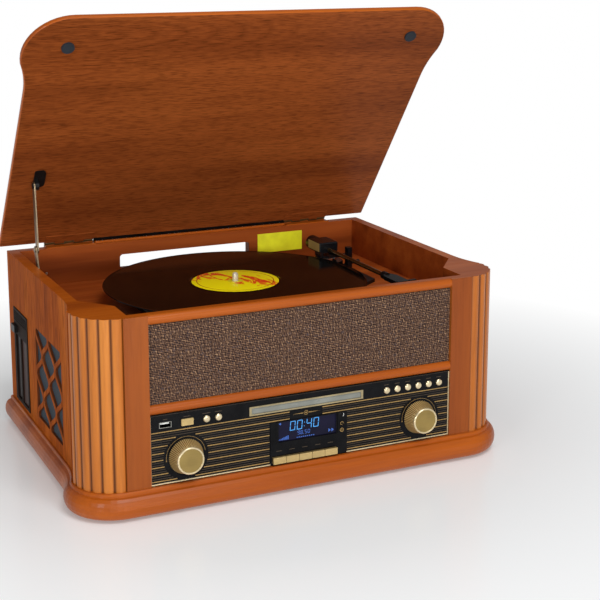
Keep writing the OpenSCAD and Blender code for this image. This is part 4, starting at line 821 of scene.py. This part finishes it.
# Dashes in place of words, as (middle, width), over the USB slot, the power button and the left buttons
LEFT_DASHES = ((-158.2, 4.5), (-134.7, 7.0), (-113.7, 8.5), (-100.7, 7.5))
RIGHT_BUTTON_X, RIGHT_BUTTON_PITCH, DASH_HALF = 95.5, 13.06, 3
KEY_X, KEY_PITCH = -38.2, 15.1
dashes = [rect(x - w / 2, x + w / 2, 99.3, 100.0) for x, w in LEFT_DASHES]
for i in range(6):
    x = RIGHT_BUTTON_X + RIGHT_BUTTON_PITCH * i
    dashes.append(rect(x - DASH_HALF, x + DASH_HALF, 99.6, 100.3))
prints("plain_marks", dashes, PANEL_D, print_dim)
prints("plain_marks_keys", [rect(KEY_X + KEY_PITCH * i + 2.0, KEY_X + KEY_PITCH * i + 8.2, 45.2, 45.9)
                            for i in range(5)], LENS_D, print_dim)

# Badge: a ring, a dart on each side of it and a lozenge in it
badge = arc(-1.2, 83.2, 2.0, 2.5, 0, 360, 20)
badge += [[(-17.5, 83.2), (-4.6, 82.7), (-4.6, 83.7)], [(2.2, 82.7), (15.2, 83.2), (2.2, 83.7)],
          [(-2.2, 83.2), (-1.2, 82.2), (-0.2, 83.2), (-1.2, 84.2)]]
prints("plain_badge", badge, PANEL_D, print_gold)

# USB socket: a steel shell with its tongue
boxes("usb_shell", [((-164.6, 1.7, 90.7), (-151.8, 2.6, 91.3)), ((-164.6, 1.7, 96.3), (-151.8, 2.6, 96.9)),
                    ((-164.8, 1.7, 90.7), (-164.2, 2.6, 96.9)), ((-152.2, 1.7, 90.7), (-151.6, 2.6, 96.9))],
      steel, "cabinet", 0.12)
boxes("usb_tongue", [((-163.0, 4.0, 94.0), (-153.4, 11.5, 96.0))], white_and_highlight, "cabinet", 0.15)

# ---------------------------------------------------------------- display: window rim, numerals, marks
boxes("display_rim", [((-36.2, 0.9, 54.1), (34.5, 1.3, 54.8)), ((-36.2, 0.9, 77.2), (34.5, 1.3, 77.8)),
                      ((-36.4, 0.9, 54.1), (-35.6, 1.3, 77.8)), ((33.9, 0.9, 54.1), (34.7, 1.3, 77.8))],
      black_gloss, "cabinet", 0.1)

SEGMENTS = {"0": "abcdef", "4": "fgbc", "5": "afgcd", "8": "abcdefg", "9": "abcdfg"}
DOTS = {":": (0.28, 0.68), ".": (0.06,)}
SLANT = 0.08


def digits(text, x, z, w, h, t, gap):
    """Seven-segment numerals of strokes t thick, from the left bottom corner, with leaning uprights."""
    out = []
    m = h / 2
    bars = {"a": (t, w - t, h - t, h), "g": (t, w - t, m - t / 2, m + t / 2), "d": (t, w - t, 0, t),
            "f": (0, t, m + t / 2, h - t / 3), "b": (w - t, w, m + t / 2, h - t / 3),
            "e": (0, t, t / 3, m - t / 2), "c": (w - t, w, t / 3, m - t / 2)}
    for ch in text:
        if ch in DOTS:
            for s in DOTS[ch]:
                cz = z + h * s
                dot = rect(x, x + t, cz - t / 2, cz + t / 2)
                out.append([(px + SLANT * (cz - z), pz) for px, pz in dot])
            x += t + gap
            continue
        for s in SEGMENTS[ch]:
            out.append([(x + px + SLANT * pz, z + pz) for px, pz in rect(*bars[s])])
        x += w + gap
    return out


prints("display_digits", digits("00:40", -20.0, 65.4, 6.2, 10.4, 0.8, 2.0), GLASS_D, digit_blue)
prints("display_line", digits("98.50", -11.0, 59.8, 2.6, 4.2, 0.5, 0.9), GLASS_D, digit_dim)
# Level bars, a row of dots, two arrows and a lozenge
signs = [rect(-33.5 + 1.6 * i, -32.5 + 1.6 * i, 56.4, 57.2 + 0.5 * i) for i in range(8)]
signs += [rect(-12 + 2.4 * i, -10.4 + 2.4 * i, 56.4, 57.3) for i in range(9)]
signs += [[(25.6, 57.0), (28.4, 59.0), (25.6, 61.0)], [(29.2, 57.0), (32.0, 59.0), (29.2, 61.0)]]
signs += [[(-31, 73.2), (-29.6, 74.6), (-31, 76), (-32.4, 74.6)]]
prints("display_marks", signs, GLASS_D, digit_dim)
# Sensor beside the display, with a painted highlight on its window and two plain icons under it
highlight_crescent = curve(41.2, 74.6, 2.1, range(-120, 61, 15)) + curve(40.4, 75.0, 1.9, range(55, -116, -15))
prints("sensor_glint", [highlight_crescent], LENS_D, white_and_highlight, thick=0.1)
turned("sensor_window", [(0, 0.25), (2.0, 0.2), (2.6, 0.0), (2.6, -0.1)], (40.6, LENS_D, 74.8), "-y",
       black_gloss, "cabinet")
icons = arc(41.0, 57.5, 1.7, 2.3, 0, 360, 16) + [rect(40.7, 41.3, 56.2, 58.8)]
icons += [rect(39.2, 43.2, 66.0, 66.6), rect(39.2, 39.8, 63.6, 66.6), rect(42.6, 43.2, 64.6, 66.6),
          rect(39.2, 41.4, 63.4, 64.0)]
prints("side_icons", icons, LENS_D, print_gold)

# ---------------------------------------------------------------- drawer, record, card, tonearm
boxes("drawer_bar_lip", [((-62.6, 1.1, 91.4), (62.6, 1.6, 96.2))], drawer_grey, "cd_drawer_body", 0.22)
SPINDLE = (SPIN_X, SPIN_D, RECORD_TOP)
turned("record_label", [(3.7, 0.0), (3.7, 0.12), (49.6, 0.12), (50.0, 0.0)], SPINDLE, "z", record_label,
       "turning_platter", 96)
turned("spindle_cap", [(3.6, -0.6), (3.6, 0.3), (3.34, 0.35), (3.34, 7.0), (2.7, 9.0), (1.2, 10.0),
                       (0, 10.02)], SPINDLE, "z", spindle_pale, "cabinet", 32)
boxes("plain_card", [((86.0, 331.55, 177.5), (148.6, 332.0, 202.4))], card_yellow, "cabinet", 0.1)

# Cover over the arm's pivot block, ring at the fork's foot, face of the cartridge
TOWER_TOP = TUBE_Z - 9.5
COVER_HALF = 12.8
arm_cover = boxes("arm_pivot_cover", [((ARM_X - COVER_HALF, ARM_D - 7.5, TUBE_Z - 3.0),
                                       (ARM_X + COVER_HALF, ARM_D + 25.0, TUBE_Z + 9.0))],
                  arm_black, "tonearm", 1.6, 3)
# The cover's left face carries the painted reflection; the rest is black
paint(arm_cover.data, (cover_side_reflection, facing("x", -1, 0.9)), (arm_black, None))
turned("arm_ring", [(13.05, -3.6), (13.7, -3.2), (13.7, -0.7), (13.05, -0.3)], (ARM_X, ARM_D, TOWER_TOP),
       "z", chrome, "cabinet")
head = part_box("headshell")
head_front_d = head[0][1] * 1000 - FRONT_Y
boxes("cartridge_front", [((ARM_X - 4.0, head_front_d - 0.25, RECORD_TOP + 2.8),
                           (ARM_X + 4.0, head_front_d + 1.0, TUBE_Z - 2.2))], white_and_highlight, "tonearm", 0.2)

# ---------------------------------------------------------------- joint between the lid and the rear board
hinge_line = P(0, HINGE_D, HINGE_Z)
OPENED = (Matrix.Translation(hinge_line) @ Matrix.Rotation(-lid_tilt, 4, "X")
          @ Matrix.Translation(-hinge_line))
boxes("joint_ledge", [((-127.0, 338.0, RIM_Z - 0.05), (127.0, 341.5, RIM_Z + 2.2))], smooth_stain,
      "cabinet", 0.2)
boxes("joint_felt", [((-127.8, 344.2, 209.2), (127.8, 345.8, 213.2))], felt_black, "lid", 0.2, at=OPENED)
BACKING_FAR, BACKING_NEAR, BACKING_BACK = 188.0, 124.5, 348.4
backing = []
for x0, x1 in ((-BACKING_FAR, -BACKING_NEAR), (BACKING_NEAR, BACKING_FAR)):
    backing += [((x0, 343.8, RIM_Z - 1.6), (x1, BACKING_BACK, RIM_Z - 1.0)),
                ((x0, 347.7, RIM_Z - 1.6), (x1, BACKING_BACK, RIM_Z + 1.65))]
boxes("hinge_backing", backing, brass_old, "cabinet")

# ---------------------------------------------------------------- floor, world, lights, camera
FLOOR_REACH, FADE_START, FADE_END = 6, 0.32, 0.75
WORLD_LEVEL = 0.34

bm = bmesh.new()
bmesh.ops.create_grid(bm, x_segments=1, y_segments=1, size=FLOOR_REACH)
floor_mesh = from_bmesh(bm)
floor = bpy.data.objects.new("floor", floor_mesh)
bpy.context.scene.collection.objects.link(floor)
g = Graph("floor_white", Base_Color=(0.84, 0.86, 0.87, 1), Roughness=0.2)
glowing(g, (1, 1, 1, 1), 0.16)
paths = g.nt.nodes.new("ShaderNodeLightPath").outputs
x, y, z = g.split()
glow = g.nt.nodes.new("ShaderNodeEmission")
glow.inputs["Color"].default_value = (1, 1, 1, 1)
seen = g.math("MAXIMUM", paths["Is Camera Ray"], paths["Is Glossy Ray"])
fade = g.times(seen, g.span(g.length(x, y), FADE_START, FADE_END))
blend = g.nt.nodes.new("ShaderNodeMixShader")
for socket, value in zip(blend.inputs, (fade, g.shader.outputs[0], glow.outputs[0])):
    g.feed(socket, value)
g.feed(g.nt.nodes["Material Output"].inputs["Surface"], blend.outputs[0])
floor_mesh.materials.append(g.mat)

world = bpy.data.worlds.new("studio")
bpy.context.scene.world = world
world.use_nodes = True
wn, wl = world.node_tree.nodes, world.node_tree.links
background = wn["Background"]
background.inputs["Color"].default_value = (1, 1, 1, 1)
path = wn.new("ShaderNodeLightPath")
bright_rays = wn.new("ShaderNodeMath")
bright_rays.operation = "MAXIMUM"
wl.new(path.outputs["Is Camera Ray"], bright_rays.inputs[0])
wl.new(path.outputs["Is Transmission Ray"], bright_rays.inputs[1])
level = wn.new("ShaderNodeMapRange")
level.inputs["To Min"].default_value = WORLD_LEVEL
level.inputs["To Max"].default_value = 1.0
wl.new(bright_rays.outputs[0], level.inputs["Value"])
wl.new(level.outputs[0], background.inputs["Strength"])


def softbox(name, place, aim, size, power):
    """A rectangular lamp at a place in metres, aimed at another."""
    data = bpy.data.lights.new(name, "AREA")
    data.shape = "RECTANGLE"
    data.size, data.size_y = size
    data.energy = power
    ob = bpy.data.objects.new(name, data)
    bpy.context.scene.collection.objects.link(ob)
    ob.location = place
    ob.rotation_euler = (Vector(aim) - Vector(place)).to_track_quat("-Z", "Y").to_euler()


softbox("front_low", (-0.2, -2.1, 0.35), (0, 0, 0.3), (1.5, 0.5), 15)
softbox("key", (0.0, -1.25, 1.8), (0, 0, 0.15), (0.9, 0.9), 18)
softbox("corner_glint", (-1.54, -1.30, 0.50), (-0.23, -0.17, 0.02), (0.4, 0.3), 6)

# Fitted to the photo, 600 pixels wide: focal length in pixels, turn to the right and fall in degrees
FRAME_PX, FOCAL_PX, YAW, PITCH, SENSOR = 600, 1353.1, 25.08, 11.30, 36.0
camera_data = bpy.data.cameras.new("camera")
camera = bpy.data.objects.new("camera", camera_data)
bpy.context.scene.collection.objects.link(camera)
bpy.context.scene.camera = camera
camera_data.sensor_width = SENSOR
camera_data.lens = FOCAL_PX / FRAME_PX * SENSOR
camera_data.shift_y = -0.15
camera_data.clip_start, camera_data.clip_end = 0.05, 60
camera.location = P(-583.9, -1228.0, 573.4)
camera.rotation_euler = (math.radians(90 - PITCH), 0, -math.radians(YAW))
bpy.context.scene.view_settings.view_transform = "Standard"
